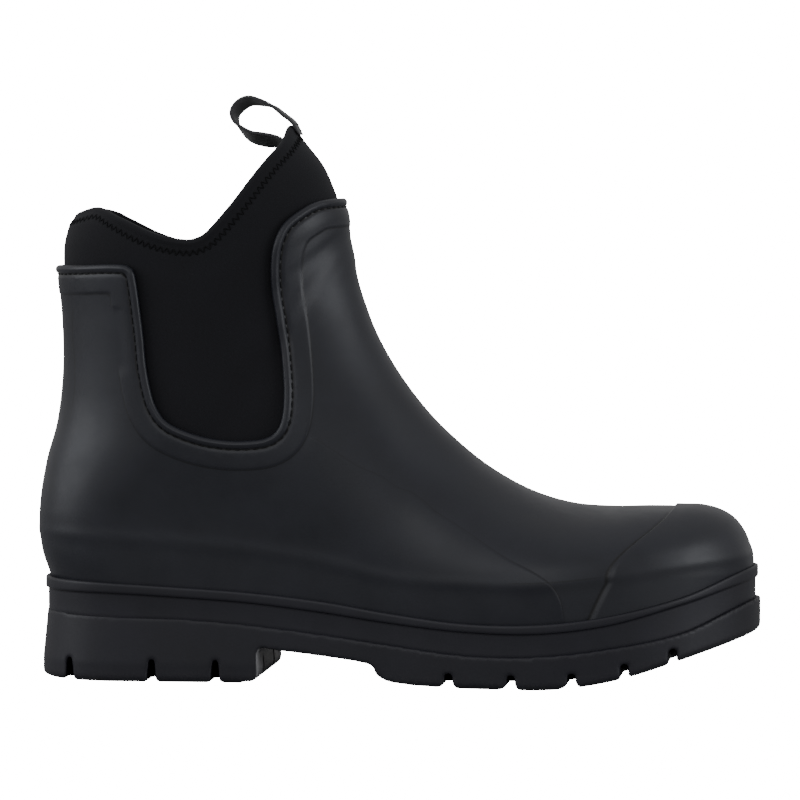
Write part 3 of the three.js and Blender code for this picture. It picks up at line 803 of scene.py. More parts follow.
def rolled_edge(form, points, normals, edges, high, low, values, flange=3.0, slot=0):
    """A round edge from the outside at height high over to the inside at height low."""
    used, inverse = np.unique(edges, return_inverse=True)
    pairs = inverse.reshape(-1, 2)
    base = points[used]
    normal = normals[used]
    tangent = np.zeros_like(base)
    step = base[pairs[:, 1]] - base[pairs[:, 0]]
    np.add.at(tangent, pairs[:, 0], step)
    np.add.at(tangent, pairs[:, 1], step)
    out = np.cross(tangent, normal)
    out /= np.maximum(np.linalg.norm(out, axis=1), 1e-9)[:, None]
    high = high[used]
    radius = (high - low) / 2
    rows = []
    for k in range(ROLL_STEPS + 1):
        angle = math.pi * k / ROLL_STEPS
        lift = (high + low) / 2 + radius * math.cos(angle)
        rows.append(base + normal * lift[:, None] + out * (radius * math.sin(angle))[:, None])
    rows.append(base + normal * low - out * flange)
    count = len(used)
    faces = []
    for k in range(len(rows) - 1):
        a = pairs[:, 0] + k * count
        b = pairs[:, 1] + k * count
        faces.append(np.stack([b, a, a + count, b + count], axis=1))
    repeated = {name: np.tile(value[used], len(rows)) for name, value in values.items()}
    form.add(np.concatenate(rows), np.concatenate(faces), slot, **repeated)


def join_sheets(sheets):
    """Welds the two sides of the last and returns base points, normals and faces."""
    points = np.concatenate([sheet.points() for sheet in sheets])
    normals = np.concatenate([sheet.normals() for sheet in sheets])
    shift = len(sheets[0].u)
    faces = np.concatenate([sheets[0].faces, sheets[1].faces + shift])
    first, inverse, faces = weld(points, faces)
    total = np.zeros((len(first), 3))
    np.add.at(total, inverse, normals)
    total /= np.maximum(np.linalg.norm(total, axis=1), 1e-9)[:, None]
    points = points[first]
    corners = points[faces]
    flat = np.cross(corners[:, 1] - corners[:, 0], corners[:, 2] - corners[:, 0])
    if (flat * total[faces].sum(axis=1)).sum() < 0:
        faces = faces[:, ::-1]
    return points, total, faces


def make_shell(materials):
    sheets = []
    for side in (-1, 1):
        sheet = Sheet(side, SHELL_ROWS, SHELL_COLUMNS)
        sheet.cut(floor_field, CLEARANCE, keep=1).tidy()
        sheet.cut(rim_field, RIM_TRIM, keep=1).tidy()
        for level in RIM_CUTS:
            sheet.cut(rim_field, level)
        for level in CAP_CUTS:
            sheet.cut(cap_field, level)
        for level in PANEL_CUTS:
            sheet.cut(panel_field, level)
        sheets.append(sheet.tidy())
    points, normals, faces = join_sheets(sheets)
    lift, values = shell_raise(points)
    form = Form()
    form.add(points + normals * lift[:, None], faces, 0, **values)
    at_rim = np.abs(values["rim"] - RIM_TRIM) < EDGE_REACH
    edges = boundary(faces, at_rim)
    rolled_edge(form, points, normals, edges, lift, -SHELL_WALL, values)
    lining_sheets = []
    for side in (-1, 1):
        sheet = Sheet(side, 130, 44)
        sheet.cut(floor_field, CLEARANCE, keep=1).tidy()
        sheet.cut(rim_field, 2.0, keep=1)
        lining_sheets.append(sheet.tidy())
    points, normals, faces = join_sheets(lining_sheets)
    form.add(points - normals * SHELL_WALL, faces[:, ::-1], 1, rim=rim_field(points))
    return make_object("shell_skin", form, materials)


def make_sleeve(materials):
    sheets = []
    for side in (-1, 1):
        sheet = Sheet(side, 190, 120, front_rows=6.0)
        sheet.cut(sleeve_low_field, 1.5, keep=1).tidy()
        sheet.cut(collar_field, 1.5, keep=1).tidy()
        for level in (2.2, 2.8, 4.8, 5.6):
            sheet.cut(collar_field, level)
        sheets.append(sheet.tidy())
    points, normals, faces = join_sheets(sheets)
    collar = collar_field(points)
    rim = rim_field(points)
    hem = 0.35 * smooth_step((2.8 - collar) / 0.8)
    seam = 0.25 * np.exp(-(((collar - 5.2) / 0.7) ** 2))
    outside = -SHELL_WALL - CLEARANCE
    inside = outside - SLEEVE_WALL
    window = smooth_step((-rim - 2) / 14) * smooth_step((collar - 8) / 10)
    lift = outside + hem - seam + 0.45 * window
    low = points[:, 2] - SLEEVE_LOW
    values = {"collar": collar, "rim": rim, "low": low}
    form = Form()
    form.add(points + normals * lift[:, None], faces, 0, **values)
    form.add(points + normals * inside, faces[:, ::-1], 0, **values)
    edges = boundary(faces, np.abs(collar - 1.5) < EDGE_REACH)
    rolled_edge(form, points, normals, edges, lift, inside, values, flange=0.0)
    edges = boundary(faces, np.abs(sleeve_low_field(points) - 1.5) < EDGE_REACH)
    rolled_edge(form, points, normals, edges, lift, inside, values, flange=0.0)
    return make_object("sleeve_cloth", form, materials)


def outline_point(station, side):
    x = SOLE_LENGTH * station
    half = along_sole(OUTLINE, OUTLINE_COLUMNS, "half", x) * BALL_WIDTH
    toe = round_off(SOLE_LENGTH - x, (1 - TOE_ROUND_START) * SOLE_LENGTH, TOE_FULLNESS)
    heel = round_off(x, HEEL_ROUND_END * SOLE_LENGTH, HEEL_FULLNESS)
    return np.stack([x, middle_at(x) + side * half * toe * heel], axis=1)


def outline_side(stations, side, grow):
    """The outline of one side, moved outwards by a distance that may change along the sole."""
    line = outline_point(stations, side)
    along = np.zeros_like(line)
    along[1:-1] = line[2:] - line[:-2]
    along[0] = [0, side]
    along[-1] = [0, -side]
    along /= np.linalg.norm(along, axis=1)[:, None]
    push = grow(line[:, 0])
    out = np.stack([-side * along[:, 1], side * along[:, 0]], axis=1)
    return line + out * push[:, None]


def ring_faces(points):
    """Four-sided faces of a tube whose closed sections are the rows of points."""
    count = points.shape[1]
    index = np.arange(points.shape[0] * count).reshape(-1, count)
    turned = np.roll(index, -1, axis=1)
    return np.stack([index[:-1], index[1:], turned[1:], turned[:-1]], axis=2).reshape(-1, 4)


def sole_slab(levels, steps):
    """A closed slab between levels: each has its own growth and height along the sole."""
    stations = (1 - np.cos(np.pi * np.linspace(0, 1, steps + 1))) / 2
    rings = []
    for side in (-1, 1):
        for grow, height in levels if side < 0 else reversed(levels):
            line = outline_side(stations, side, grow)
            rings.append(np.concatenate([line, height(line[:, 0])[:, None]], axis=1))
    points = np.stack(rings, axis=1)
    return points.reshape(-1, 3), ring_faces(points)


def outline_half(x, y):
    """Distance outside the sole's outline, across the sole."""
    stations = np.clip(x / SOLE_LENGTH, 0.0005, 0.9995)
    outer = outline_point(stations, 1)[:, 1]
    inner = outline_point(stations, -1)[:, 1]
    flare = HEEL_FLARE * np.maximum(0, 1 - x / (0.5 * SOLE_LENGTH))
    return np.where(y > (outer + inner) / 2, y - outer - flare, inner - flare - y)


def ground_line(x):
    start = SPRING_START * SOLE_LENGTH
    bend = SPRING_BEND * (SOLE_LENGTH - start)
    slope = TOE_SPRING / (SOLE_LENGTH - start - bend / 2)
    curve = slope * (x - start) ** 2 / (2 * bend)
    straight = slope * (x - start - bend / 2)
    return np.where(x <= start, 0, np.where(x < start + bend, curve, straight))


SEAM_COVER = 0.55


def make_midsole(materials):
    def along(x):
        return x / SOLE_LENGTH

    def band(x):
        return -TOE_BAND_INSET * along(x) - HEEL_BAND_INSET * (1 - along(x))

    def bead(x):
        return -TOE_BEAD_INSET * along(x) + HEEL_BEAD_GROWTH * (1 - along(x))

    def ledge(x):
        return -(HEEL_LEDGE + (TOE_LEDGE - HEEL_LEDGE) * along(x))

    def low(x):
        return side_line("bead_low", x)

    def top(x):
        return side_line("bead_top", x)

    def bottom(x):
        return side_line("step", x) - SEAM_COVER

    # Growth is the first function plus the first number, height the second plus the second.
    profile = (
        (ledge, -7.0, bottom, FLOOR_THICKNESS),
        (ledge, -6.0, bottom, FLOOR_THICKNESS + 0.6),
        (ledge, -4.5, top, -2.0),
        (ledge, -3.2, top, -0.9),
        (ledge, -1.6, top, -0.45),
        (ledge, -0.4, top, -0.25),
        (ledge, 0.2, top, -0.05),
        (bead, -0.95, top, 0.0),
        (bead, -0.55, top, -0.10),
        (bead, -0.22, top, -0.32),
        (bead, -0.04, top, -0.70),
        (bead, 0.0, top, -1.2),
        (bead, 0.0, low, 1.1),
        (bead, -0.06, low, 0.62),
        (bead, -0.24, low, 0.28),
        (bead, -0.50, low, 0.10),
        (band, 0.22, low, 0.0),
        (band, 0.04, low, -0.25),
        (band, 0.0, low, -0.7),
        (band, 0.0, bottom, 1.6),
        (band, 0.0, bottom, 0.5),
        (band, -0.15, bottom, 0.0),
        (band, -4.0, bottom, 0.0),
    )
    levels = []
    for base_grow, more, base_height, higher in profile:
        levels.append(
            (
                lambda x, f=base_grow, m=more: f(x) + m,
                lambda x, f=base_height, m=higher: f(x) + m,
            )
        )
    points, faces = sole_slab(levels, 420)
    form = Form()
    x = points[:, 0]
    form.add(points, faces, 0, bead=points[:, 2] - low(x), step=points[:, 2] - bottom(x))
    return make_object("midsole_form", form, materials)


def prism(outline, axis, start, end):
    """A closed prism over an outline in side view (axis y) or plan view (axis z)."""
    outline = np.asarray(outline, dtype=float)
    count = len(outline)
    points = []
    for level in (start, end):
        for one, other in outline:
            points.append([one, level, other] if axis == "y" else [one, other, level])
    faces = [list(range(count)), list(range(2 * count - 1, count - 1, -1))]
    for k in range(count):
        after = (k + 1) % count
        faces.append([k, k + count, after + count, after])
    return points, faces


# The mouth of a fore groove: distance beyond its side and height above the ground, with a wide
# round on the heel side and a short slant on the toe side
HEEL_MOUTH = ((3.8, -3.0), (3.6, 0.0), (2.3, 0.3), (1.2, 0.8), (0.4, 1.5), (0.0, 2.4))
TOE_MOUTH = ((0.0, 2.4), (0.9, 0.6), (1.2, 0.2), (1.7, 0.0), (1.9, -3.0))
SMALL_MOUTH_FROM = 0.79
SMALL_MOUTH = 0.35
HEEL_GROOVE_LOW = 3.4
HEEL_GROOVE_CORNER = 1.1


def groove_outline(station):
    """Side view of a fore groove with rounded upper corners and a wide mouth."""
    x = station * SOLE_LENGTH
    half = GROOVE_WIDTH / 2
    corner = 0.5

    def ground(place):
        return float(ground_line(np.array([place]))[0])

    top = ground(x) + TREAD_DEPTH
    share = SMALL_MOUTH if station > SMALL_MOUTH_FROM else 1.0
    heel_mouth = [(share * away, share * high if high > 0 else high) for away, high in HEEL_MOUTH]
    toe_mouth = [(share * away, share * high if high > 0 else high) for away, high in TOE_MOUTH]
    outline = [(x - half - away, ground(x - half - away) + high) for away, high in heel_mouth]
    outline += [
        (x - half, top - corner),
        (x - half + corner, top),
        (x + half - corner, top),
        (x + half, top - corner),
    ]
    outline += [(x + half + away, ground(x + half + away) + high) for away, high in toe_mouth]
    return outline


def heel_groove_outline(station):
    """Side view of a heel groove: a tall slot that narrows upwards, its mouth a little rounded."""
    x = station * SOLE_LENGTH
    low = HEEL_GROOVE_LOW / 2
    high = HEEL_GROOVE_WIDTH / 2
    corner = HEEL_GROOVE_CORNER
    return [
        (x - low - corner, -3.0),
        (x - low - corner, 0.0),
        (x - low - 0.25 * corner, 0.3 * corner),
        (x - low, corner),
        (x - high, HEEL_NOTCH_DEPTH - 0.6),
        (x - 0.5 * high, HEEL_NOTCH_DEPTH),
        (x + 0.5 * high, HEEL_NOTCH_DEPTH),
        (x + high, HEEL_NOTCH_DEPTH - 0.6),
        (x + low, corner),
        (x + low + 0.25 * corner, 0.3 * corner),
        (x + low + corner, 0.0),
        (x + low + corner, -3.0),
    ]


def mesh_object(name, points, faces):
    mesh = bpy.data.meshes.new(name)
    mesh.from_pydata([tuple(point) for point in points], [], [tuple(face) for face in faces])
    mesh.update()
    tool = bmesh.new()
    tool.from_mesh(mesh)
    bmesh.ops.recalc_face_normals(tool, faces=tool.faces)
    tool.to_mesh(mesh)
    tool.free()
    return placed(name, mesh)


def applied(thing):
    """The object's mesh with its modifiers worked in."""
    depsgraph = bpy.context.evaluated_depsgraph_get()
    mesh = bpy.data.meshes.new_from_object(thing.evaluated_get(depsgraph))
    thing.modifiers.clear()
    old = thing.data
    thing.data = mesh
    bpy.data.meshes.remove(old)
    return thing


# Upright grooves in the heel's front face: place across the sole and height of their top
BREAST_GROOVES = ((-31.0, 4.5), (-18.0, 9.0), (10.0, 12.5), (24.0, 12.5))
BREAST_X = 88.0
BREAST_GROOVE_WIDTH = 1.3
BREAST_GROOVE_DEPTH = 2.6


def tread_cutters():
    """All grooves of the sole's underside, as closed prisms."""
    across = 0.75 * BALL_WIDTH
    cutters = []
    arch_x = column(ARCH, LINE_COLUMNS, "x") * SOLE_LENGTH
    arch_z = column(ARCH, LINE_COLUMNS, "z") * RAND_HEIGHT
    rows = np.linspace(0, len(ARCH) - 1, 60)
    arch = np.stack([read_rows(arch_x, rows), read_rows(arch_z, rows)], axis=1)
    cutters.append(prism(arch, "y", -across, across))
    grooves = [(station, heel_groove_outline(station)) for station in HEEL_GROOVES]
    grooves += [(station, groove_outline(station)) for station in FORE_GROOVES]
    for station, outline in grooves:
        middle = float(middle_at(np.array([station * SOLE_LENGTH]))[0])
        spine = SPINE_HALF * BALL_WIDTH
        cutters.append(prism(outline, "y", -across, middle - spine))
        cutters.append(prism(outline, "y", middle + spine, across))
    for place, top in BREAST_GROOVES:
        half = BREAST_GROOVE_WIDTH / 2
        first = BREAST_X - BREAST_GROOVE_DEPTH
        slot = [
            (first, place - half),
            (BREAST_X + 6, place - half - 1.0),
            (BREAST_X + 6, place + half + 1.0),
            (first, place + half),
        ]
        cutters.append(prism(slot, "z", -4.0, top))
    return cutters


OUTSOLE_VOXEL = 0.76
HIDDEN_INSET = 4.0


def make_outsole(materials):
    def flare(x):
        return HEEL_FLARE * np.maximum(0, 1 - x / (0.5 * SOLE_LENGTH))

    def step(x):
        return side_line("step", x)

    def low(x):
        return ground_line(x) + EDGE_ROUND

    levels = [
        (lambda x: np.full_like(x, -0.1), step),
        (lambda x: np.full_like(x, 0.0), lambda x: step(x) - 0.15),
        (flare, lambda x: low(x) + TREAD_DEPTH),
        (flare, low),
        (lambda x: flare(x) - 0.3 * EDGE_ROUND, lambda x: ground_line(x) + 0.4 * EDGE_ROUND),
        (lambda x: flare(x) - EDGE_ROUND, ground_line),
    ]
    points, faces = sole_slab(levels, 180)
    sole = mesh_object("outsole_form", points, faces)
    made = []
    for k, (cutter_points, cutter_faces) in enumerate(tread_cutters()):
        cutter = mesh_object("cutter_%d" % k, cutter_points, cutter_faces)
        made.append(cutter)
        boolean = sole.modifiers.new("cut", "BOOLEAN")
        boolean.operation = "DIFFERENCE"
        boolean.solver = "EXACT"
        boolean.object = cutter
    applied(sole)
    for cutter in made:
        mesh = cutter.data
        bpy.data.objects.remove(cutter)
        bpy.data.meshes.remove(mesh)
    remesh = sole.modifiers.new("even", "REMESH")
    remesh.mode = "VOXEL"
    remesh.voxel_size = OUTSOLE_VOXEL
    remesh.use_smooth_shade = True
    smooth = sole.modifiers.new("soft", "SMOOTH")
    smooth.factor = 0.4
    smooth.iterations = 3
    applied(sole)
    mesh = sole.data
    tool = bmesh.new()
    tool.from_mesh(mesh)
    centres = np.array([face.calc_center_median() for face in tool.faces])
    hidden = centres[:, 2] > side_line("step", centres[:, 0]) - 1.5
    hidden &= outline_half(centres[:, 0], centres[:, 1]) < -HIDDEN_INSET
    hidden &= (centres[:, 0] > HIDDEN_INSET) & (centres[:, 0] < SOLE_LENGTH - 2 * HIDDEN_INSET)
    unseen = [face for face, away in zip(tool.faces, hidden) if away]
    bmesh.ops.delete(tool, geom=unseen, context="FACES")
    tool.to_mesh(mesh)
    tool.free()
    count = len(mesh.vertices)
    flat = np.zeros(count * 3)
    mesh.vertices.foreach_get("co", flat)
    flat = flat.reshape(-1, 3)
    height = flat[:, 2] - ground_line(flat[:, 0])
    set_values(mesh, "ground", height)
    normals = np.zeros(count * 3)
    mesh.vertex_normals.foreach_get("vector", normals)
    ahead = normals.reshape(-1, 3)[:, 0]
    near = np.abs(flat[:, 0] - BREAST_X + 1.0) < 6
    # Mask for painted light on the heel's front face
    breast_painted_light = smooth_step((ahead - 0.45) / 0.3) * near * smooth_step((height - 0.8) / 2)
    # Mask for painted shade in the tread grooves and the heel's front slots
    notch_shade = np.zeros(count)
    for station in HEEL_GROOVES + FORE_GROOVES:
        away = np.abs(flat[:, 0] - station * SOLE_LENGTH)
        notch_shade = np.maximum(notch_shade, away < GROOVE_WIDTH / 2 + 0.6)
    for place, top in BREAST_GROOVES:
        slot = (np.abs(flat[:, 1] - place) < BREAST_GROOVE_WIDTH / 2 + 0.7) & near
        slot &= (height < top + 0.3) & (flat[:, 0] < BREAST_X - 0.3)
        notch_shade = np.maximum(notch_shade, slot)
    edge = np.abs(outline_half(flat[:, 0], flat[:, 1])) < 0.9
    notch_shade = notch_shade * (height > 0.8) * (height < HEEL_NOTCH_DEPTH + 1) * (1 - edge)
    set_values(mesh, "breast_painted_light", breast_painted_light)
    # depth holds the strength of the painted shade in the grooves
    set_values(mesh, "depth", 0.85 * notch_shade)
    moved = (flat + FRAME_SHIFT) * MM
    mesh.vertices.foreach_set("co", moved.ravel())
    mesh.update()
    mesh.materials.clear()
    for material in materials:
        mesh.materials.append(material)
    mesh.polygons.foreach_set("use_smooth", np.full(len(mesh.polygons), True))
    return sole


def make_insole(materials):
    """A flat foot bed with rounded edges, inside the shell's wall."""
    steps = 240
    inset = SHELL_WALL + 2 * CLEARANCE
    first = back_at(np.array([30.0]))[0] + inset
    last = TIP[0] - inset - 1.0
    share = (1 - np.cos(np.pi * np.linspace(0, 1, steps + 1))) / 2
    x = first + (last - first) * share
    floor = side_line("step", x) + 2 * CLEARANCE + FLOOR_THICKNESS
    far = np.full(steps + 1, 1e3)
    half = half_width(
        first - inset + (last - first + 2 * inset) * (x - first) / (last - first),
        floor + 2,
        far,
        np.ones(steps + 1),
        np.full(steps + 1, 2.0),
    )
    ends = round_off(x - first + 0.01, 14.0, 2), round_off(last - x + 0.01, 14.0, 2)
    half = np.maximum(half - inset, 0) * ends[0] * ends[1]
    middle = middle_at(x)
    profile = ((0.0, -0.35), (0.5, 0.0), (3.2, 0.0), (3.75, -0.25), (3.95, -0.8), (4.0, -2.0))
    rings = []
    for side in (-1, 1):
        for height, grow in profile if side < 0 else reversed(profile):
            width = np.maximum(half + grow, 0)
            rings.append(np.stack([x, middle + side * width, floor + height], axis=1))
    points = np.stack(rings, axis=1)
    form = Form()
    form.add(points.reshape(-1, 3), ring_faces(points)[:, [0, 3, 2, 1]], 0)
    return make_object("insole_cloth", form, materials)


def ribbon_route(share):
    """Centres and frames of the pull loop's ribbon."""
    points = np.stack(
        [
            column(LOOP, LOOP_COLUMNS, "x") * SOLE_LENGTH,
            np.zeros(len(LOOP)),
            level_at(column(LOOP, LOOP_COLUMNS, "z")),
        ],
        axis=1,
    )
    rows = share * (len(LOOP) - 1)
    centre = np.stack([read_rows(points[:, k], rows) for k in range(3)], axis=1)
    nudge = 0.02
    ahead = np.stack([read_rows(points[:, k], rows + nudge) for k in range(3)], axis=1)
    behind = np.stack([read_rows(points[:, k], rows - nudge) for k in range(3)], axis=1)
    along = ahead - behind
    along /= np.linalg.norm(along, axis=1)[:, None]
    turn = np.radians(read_rows(column(LOOP, LOOP_COLUMNS, "turn"), rows))
    plain = np.tile([0.0, 1.0, 0.0], (len(share), 1))
    sideways = np.cross(along, plain)
    across = plain * np.cos(turn)[:, None] + sideways * np.sin(turn)[:, None]
    through = np.cross(along, across)
    return centre, across, through


RIBBON_TAPER = 5.0


def make_ribbon(materials):
    steps = 260
    share = np.linspace(0, 1, steps + 1)
    centre, across, through = ribbon_route(share)
    run = np.concatenate([[0], np.cumsum(np.linalg.norm(np.diff(centre, axis=0), axis=1))])
    half = RIBBON_WIDTH / 2
    thick = RIBBON_THICKNESS / 2
    profile = []
    for k in range(21):
        place = -1 + 2 * k / 20
        rib = 1.0 + 0.12 * math.cos(math.pi * place * 6)
        profile.append((place * (half - 0.35), thick * rib))
    edge = [(half - 0.1, thick * 0.6), (half, 0.0), (half - 0.1, -thick * 0.6)]
    ring = profile + edge + [(w, -t) for w, t in profile[::-1]] + [(-w, t) for w, t in edge[::-1]]
    points = []
    width = []
    full = 0.45 + 0.55 * smooth_step(run / RIBBON_TAPER)
    for w, t in ring:
        points.append(centre + across * w + through * (t * full + thick * (1 - full))[:, None])
        width.append(np.full(steps + 1, w))
    stacked = np.stack(points, axis=1)
    faces = ring_faces(stacked)
    form = Form()
    form.add(
        stacked.reshape(-1, 3),
        faces,
        0,
        width=np.stack(width, axis=1).ravel(),
        run=np.repeat(run, stacked.shape[1]),
    )
    return make_object("pull_ribbon", form, materials)


THREAD_SIDES = 6


def add_threads(form, centres, tangents, normals, length, radius, flat=0.8):
    """Short rounded thread ends, one at each centre, lying along its tangent."""
    across = np.cross(normals, tangents)
    profile = ((-0.5, 0.15), (-0.42, 0.75), (-0.2, 1.0), (0.2, 1.0), (0.42, 0.75), (0.5, 0.15))
    angles = np.linspace(0, 2 * math.pi, THREAD_SIDES, endpoint=False)
    sides = []
    for place, size in profile:
        for angle in angles:
            sides.append(
                centres
                + tangents * (place * length)
                + across * (radius * size * math.cos(angle))
                + normals * (radius * flat * size * math.sin(angle))
            )
    points = np.stack(sides, axis=1)
    count = points.shape[1]
    base_faces = []
    for ring in range(len(profile) - 1):
        for k in range(THREAD_SIDES):
            a = ring * THREAD_SIDES + k
            b = ring * THREAD_SIDES + (k + 1) % THREAD_SIDES
            base_faces.append([a, b, b + THREAD_SIDES, a + THREAD_SIDES])
    base_faces = np.array(base_faces)
    offsets = np.arange(len(centres))[:, None, None] * count
    faces = (base_faces[None] + offsets).reshape(-1, 4)
    form.add(points.reshape(-1, 3), faces, 0)


def level_curve(sheet, field, level):
    """Places on one side of the last where a field has a level."""
    value = field(sheet.points()) - level
    faces = sheet.faces
    pairs = np.concatenate([faces[:, [0, 1]], faces[:, [1, 2]], faces[:, [2, 0]]])
    pairs = np.unique(np.sort(pairs, axis=1), axis=0)
    pairs = pairs[value[pairs[:, 0]] * value[pairs[:, 1]] < 0]
    share = value[pairs[:, 0]] / (value[pairs[:, 0]] - value[pairs[:, 1]])
    u = sheet.u[pairs[:, 0]] * (1 - share) + sheet.u[pairs[:, 1]] * share
    v = sheet.v[pairs[:, 0]] * (1 - share) + sheet.v[pairs[:, 1]] * share
    return u, v


def surface_run(sheet, field, order_line, level):
    """Even stations along a level curve on one side, with their frames."""
    u, v = level_curve(sheet, field, level)
    side = np.full(len(u), float(sheet.side))
    points = last_points(u, v, side)
    normals = last_normals(u, v, side)
    place = line_distance(side_view(points), order_line)[1]
    depth = points[:, 1] * sheet.side
    order = np.lexsort((depth, np.round(place, 1)))
    points = points[order]
    normals = normals[order]
    run = np.concatenate([[0], np.cumsum(np.linalg.norm(np.diff(points, axis=0), axis=1))])
    keep = np.concatenate([[True], np.diff(run) > 1e-3])
    return points[keep], normals[keep], run[keep]


def even_frames(points, normals, run, pitch, phase=0.5):
    count = int(run[-1] // pitch)
    stations = (np.arange(count) + phase) * pitch
    centre = np.stack([np.interp(stations, run, points[:, k]) for k in range(3)], axis=1)
    normal = np.stack([np.interp(stations, run, normals[:, k]) for k in range(3)], axis=1)
    normal /= np.linalg.norm(normal, axis=1)[:, None]
    ahead = np.stack([np.interp(stations + 0.6, run, points[:, k]) for k in range(3)], axis=1)
    behind = np.stack([np.interp(stations - 0.6, run, points[:, k]) for k in range(3)], axis=1)
    tangent = ahead - behind
    tangent /= np.maximum(np.linalg.norm(tangent, axis=1), 1e-9)[:, None]
    return centre, normal, tangent


STITCH_PITCH = 3.6
STITCH_LENGTH = 2.7
GROOVE_AWAY = 3.4


def make_rim_stitches(materials):
    form = Form()
    for side in (-1, 1):
        sheet = Sheet(side, 260, 90)
        run = surface_run(sheet, rim_field, RIM_LINE, GROOVE_AWAY)
        centre, normal, tangent = even_frames(*run, STITCH_PITCH)
        add_threads(form, centre + normal * 0.02, tangent, normal, STITCH_LENGTH, 0.34)
    return make_object("rim_stitches", form, materials)


def make_collar_stitches(materials):
    """A zigzag seam below the collar's hem."""
    form = Form()
    for side in (-1, 1):
        sheet = Sheet(side, 260, 110, front_rows=6.0)
        run = surface_run(sheet, collar_field, COLLAR_LINE, 5.2)
        centre, normal, tangent = even_frames(*run, 1.35)
        across = np.cross(normal, tangent)
        turn = np.where(np.arange(len(centre)) % 2 == 0, 1.0, -1.0)[:, None]
        slant = tangent * 0.46 + across * turn * 0.89
        slant /= np.linalg.norm(slant, axis=1)[:, None]
        outside = -SHELL_WALL - CLEARANCE
        add_threads(form, centre + normal * (outside - 0.05), slant, normal, 2.9, 0.22)
    return make_object("collar_stitches", form, materials)


def make_ribbon_stitches(materials):
    """Two short rows that hold the loop's outer end to the collar."""
    form = Form()
    for row_share in (0.03, 0.085):
        share = np.full(7, row_share)
        centre, across, through = ribbon_route(share)
        place = np.linspace(-3.9, 3.9, 7)
        for sign in (-1, 1):
            lift = sign * (RIBBON_THICKNESS / 2 + 0.08)
            middle = centre + across * place[:, None] + through * lift
            add_threads(form, middle, across, through * sign, 1.05, 0.16)
    return make_object("ribbon_stitches", form, materials)


def new_material(name):
    material = bpy.data.materials.new(name)
    material.use_nodes = True
    return material, material.node_tree, material.node_tree.nodes["Principled BSDF"]


def link(tree, source, target):
    tree.links.new(source, target)


def add_node(tree, kind, **settings):
    made = tree.nodes.new(kind)
    for name, value in settings.items():
        setattr(made, name, value)
    return made


def noise(tree, scale, detail=3.0, roughness=0.55, stretch=None):
    """A noise texture in object space; scale is in features per metre."""
    coords = add_node(tree, "ShaderNodeTexCoord")
    texture = add_node(tree, "ShaderNodeTexNoise")
    texture.inputs["Scale"].default_value = scale
    texture.inputs["Detail"].default_value = detail
    texture.inputs["Roughness"].default_value = roughness
    if stretch is None:
        link(tree, coords.outputs["Object"], texture.inputs["Vector"])
    else:
        mapping = add_node(tree, "ShaderNodeMapping")
        mapping.inputs["Scale"].default_value = stretch
        link(tree, coords.outputs["Object"], mapping.inputs["Vector"])
        link(tree, mapping.outputs["Vector"], texture.inputs["Vector"])
    return texture.outputs["Fac"]


def remap(tree, value, low, high, to_low, to_high):
    made = add_node(tree, "ShaderNodeMapRange", clamp=True)
    made.inputs["From Min"].default_value = low
    made.inputs["From Max"].default_value = high
    made.inputs["To Min"].default_value = to_low
    made.inputs["To Max"].default_value = to_high
    link(tree, value, made.inputs["Value"])
    return made.outputs["Result"]


def math_node(tree, operation, one, other=None):
    made = add_node(tree, "ShaderNodeMath", operation=operation)
    for slot, value in ((0, one), (1, other)):
        if value is None:
            continue
        if isinstance(value, (int, float)):
            made.inputs[slot].default_value = value
        else:
            link(tree, value, made.inputs[slot])
    return made.outputs["Value"]


def mix_colour(tree, share, one, other):
    made = add_node(tree, "ShaderNodeMix", data_type="RGBA")
    for slot, value in (("A", one), ("B", other)):
        colours = [socket for socket in made.inputs if socket.type == "RGBA"]
        target = [socket for socket in colours if socket.name == slot][0]
        if isinstance(value, tuple):
            target.default_value = (*value, 1.0)
        else:
            link(tree, value, target)
    link(tree, share, made.inputs["Factor"])
    return [socket for socket in made.outputs if socket.type == "RGBA"][0]


def bump(tree, height, strength, distance, normal=None):
    made = add_node(tree, "ShaderNodeBump")
    made.inputs["Strength"].default_value = strength
    made.inputs["Distance"].default_value = distance
    link(tree, height, made.inputs["Height"])
    if normal is not None:
        link(tree, normal, made.inputs["Normal"])
    return made.outputs["Normal"]


def attribute_value(tree, name):
    made = add_node(tree, "ShaderNodeAttribute", attribute_name=name)
    return made.outputs["Fac"]


RUBBER_DARK = (0.0080, 0.0087, 0.0135)
RUBBER_LIGHT = (0.0108, 0.0117, 0.0176)
DUST = (0.05, 0.048, 0.045)
REAR_SEAM = (-0.112, -0.092)
# Painted highlight: lighter colour for the corner by the toe cap
CORNER_PAINTED_LIGHT = (0.0185, 0.0195, 0.0240)
# Painted shade: colour for the dark moulded lines and the tread grooves
PAINTED_SHADE_DARK = (0.0012, 0.0012, 0.0016)
# Painted light: pale colour for the heel's front face, as if lit from the floor
BREAST_PAINTED_LIGHT = (0.20, 0.20, 0.205)


def line_mask(tree, field, centre, half, share=None):
    """One on a thin line where a field has a value, and nothing away from it."""
    away = math_node(tree, "ABSOLUTE", math_node(tree, "SUBTRACT", field, centre))
    mask = remap(tree, away, 0.3 * half, half, 1.0, 0.0)
    if share is not None:
        mask = math_node(tree, "MULTIPLY", mask, share)
    return mask


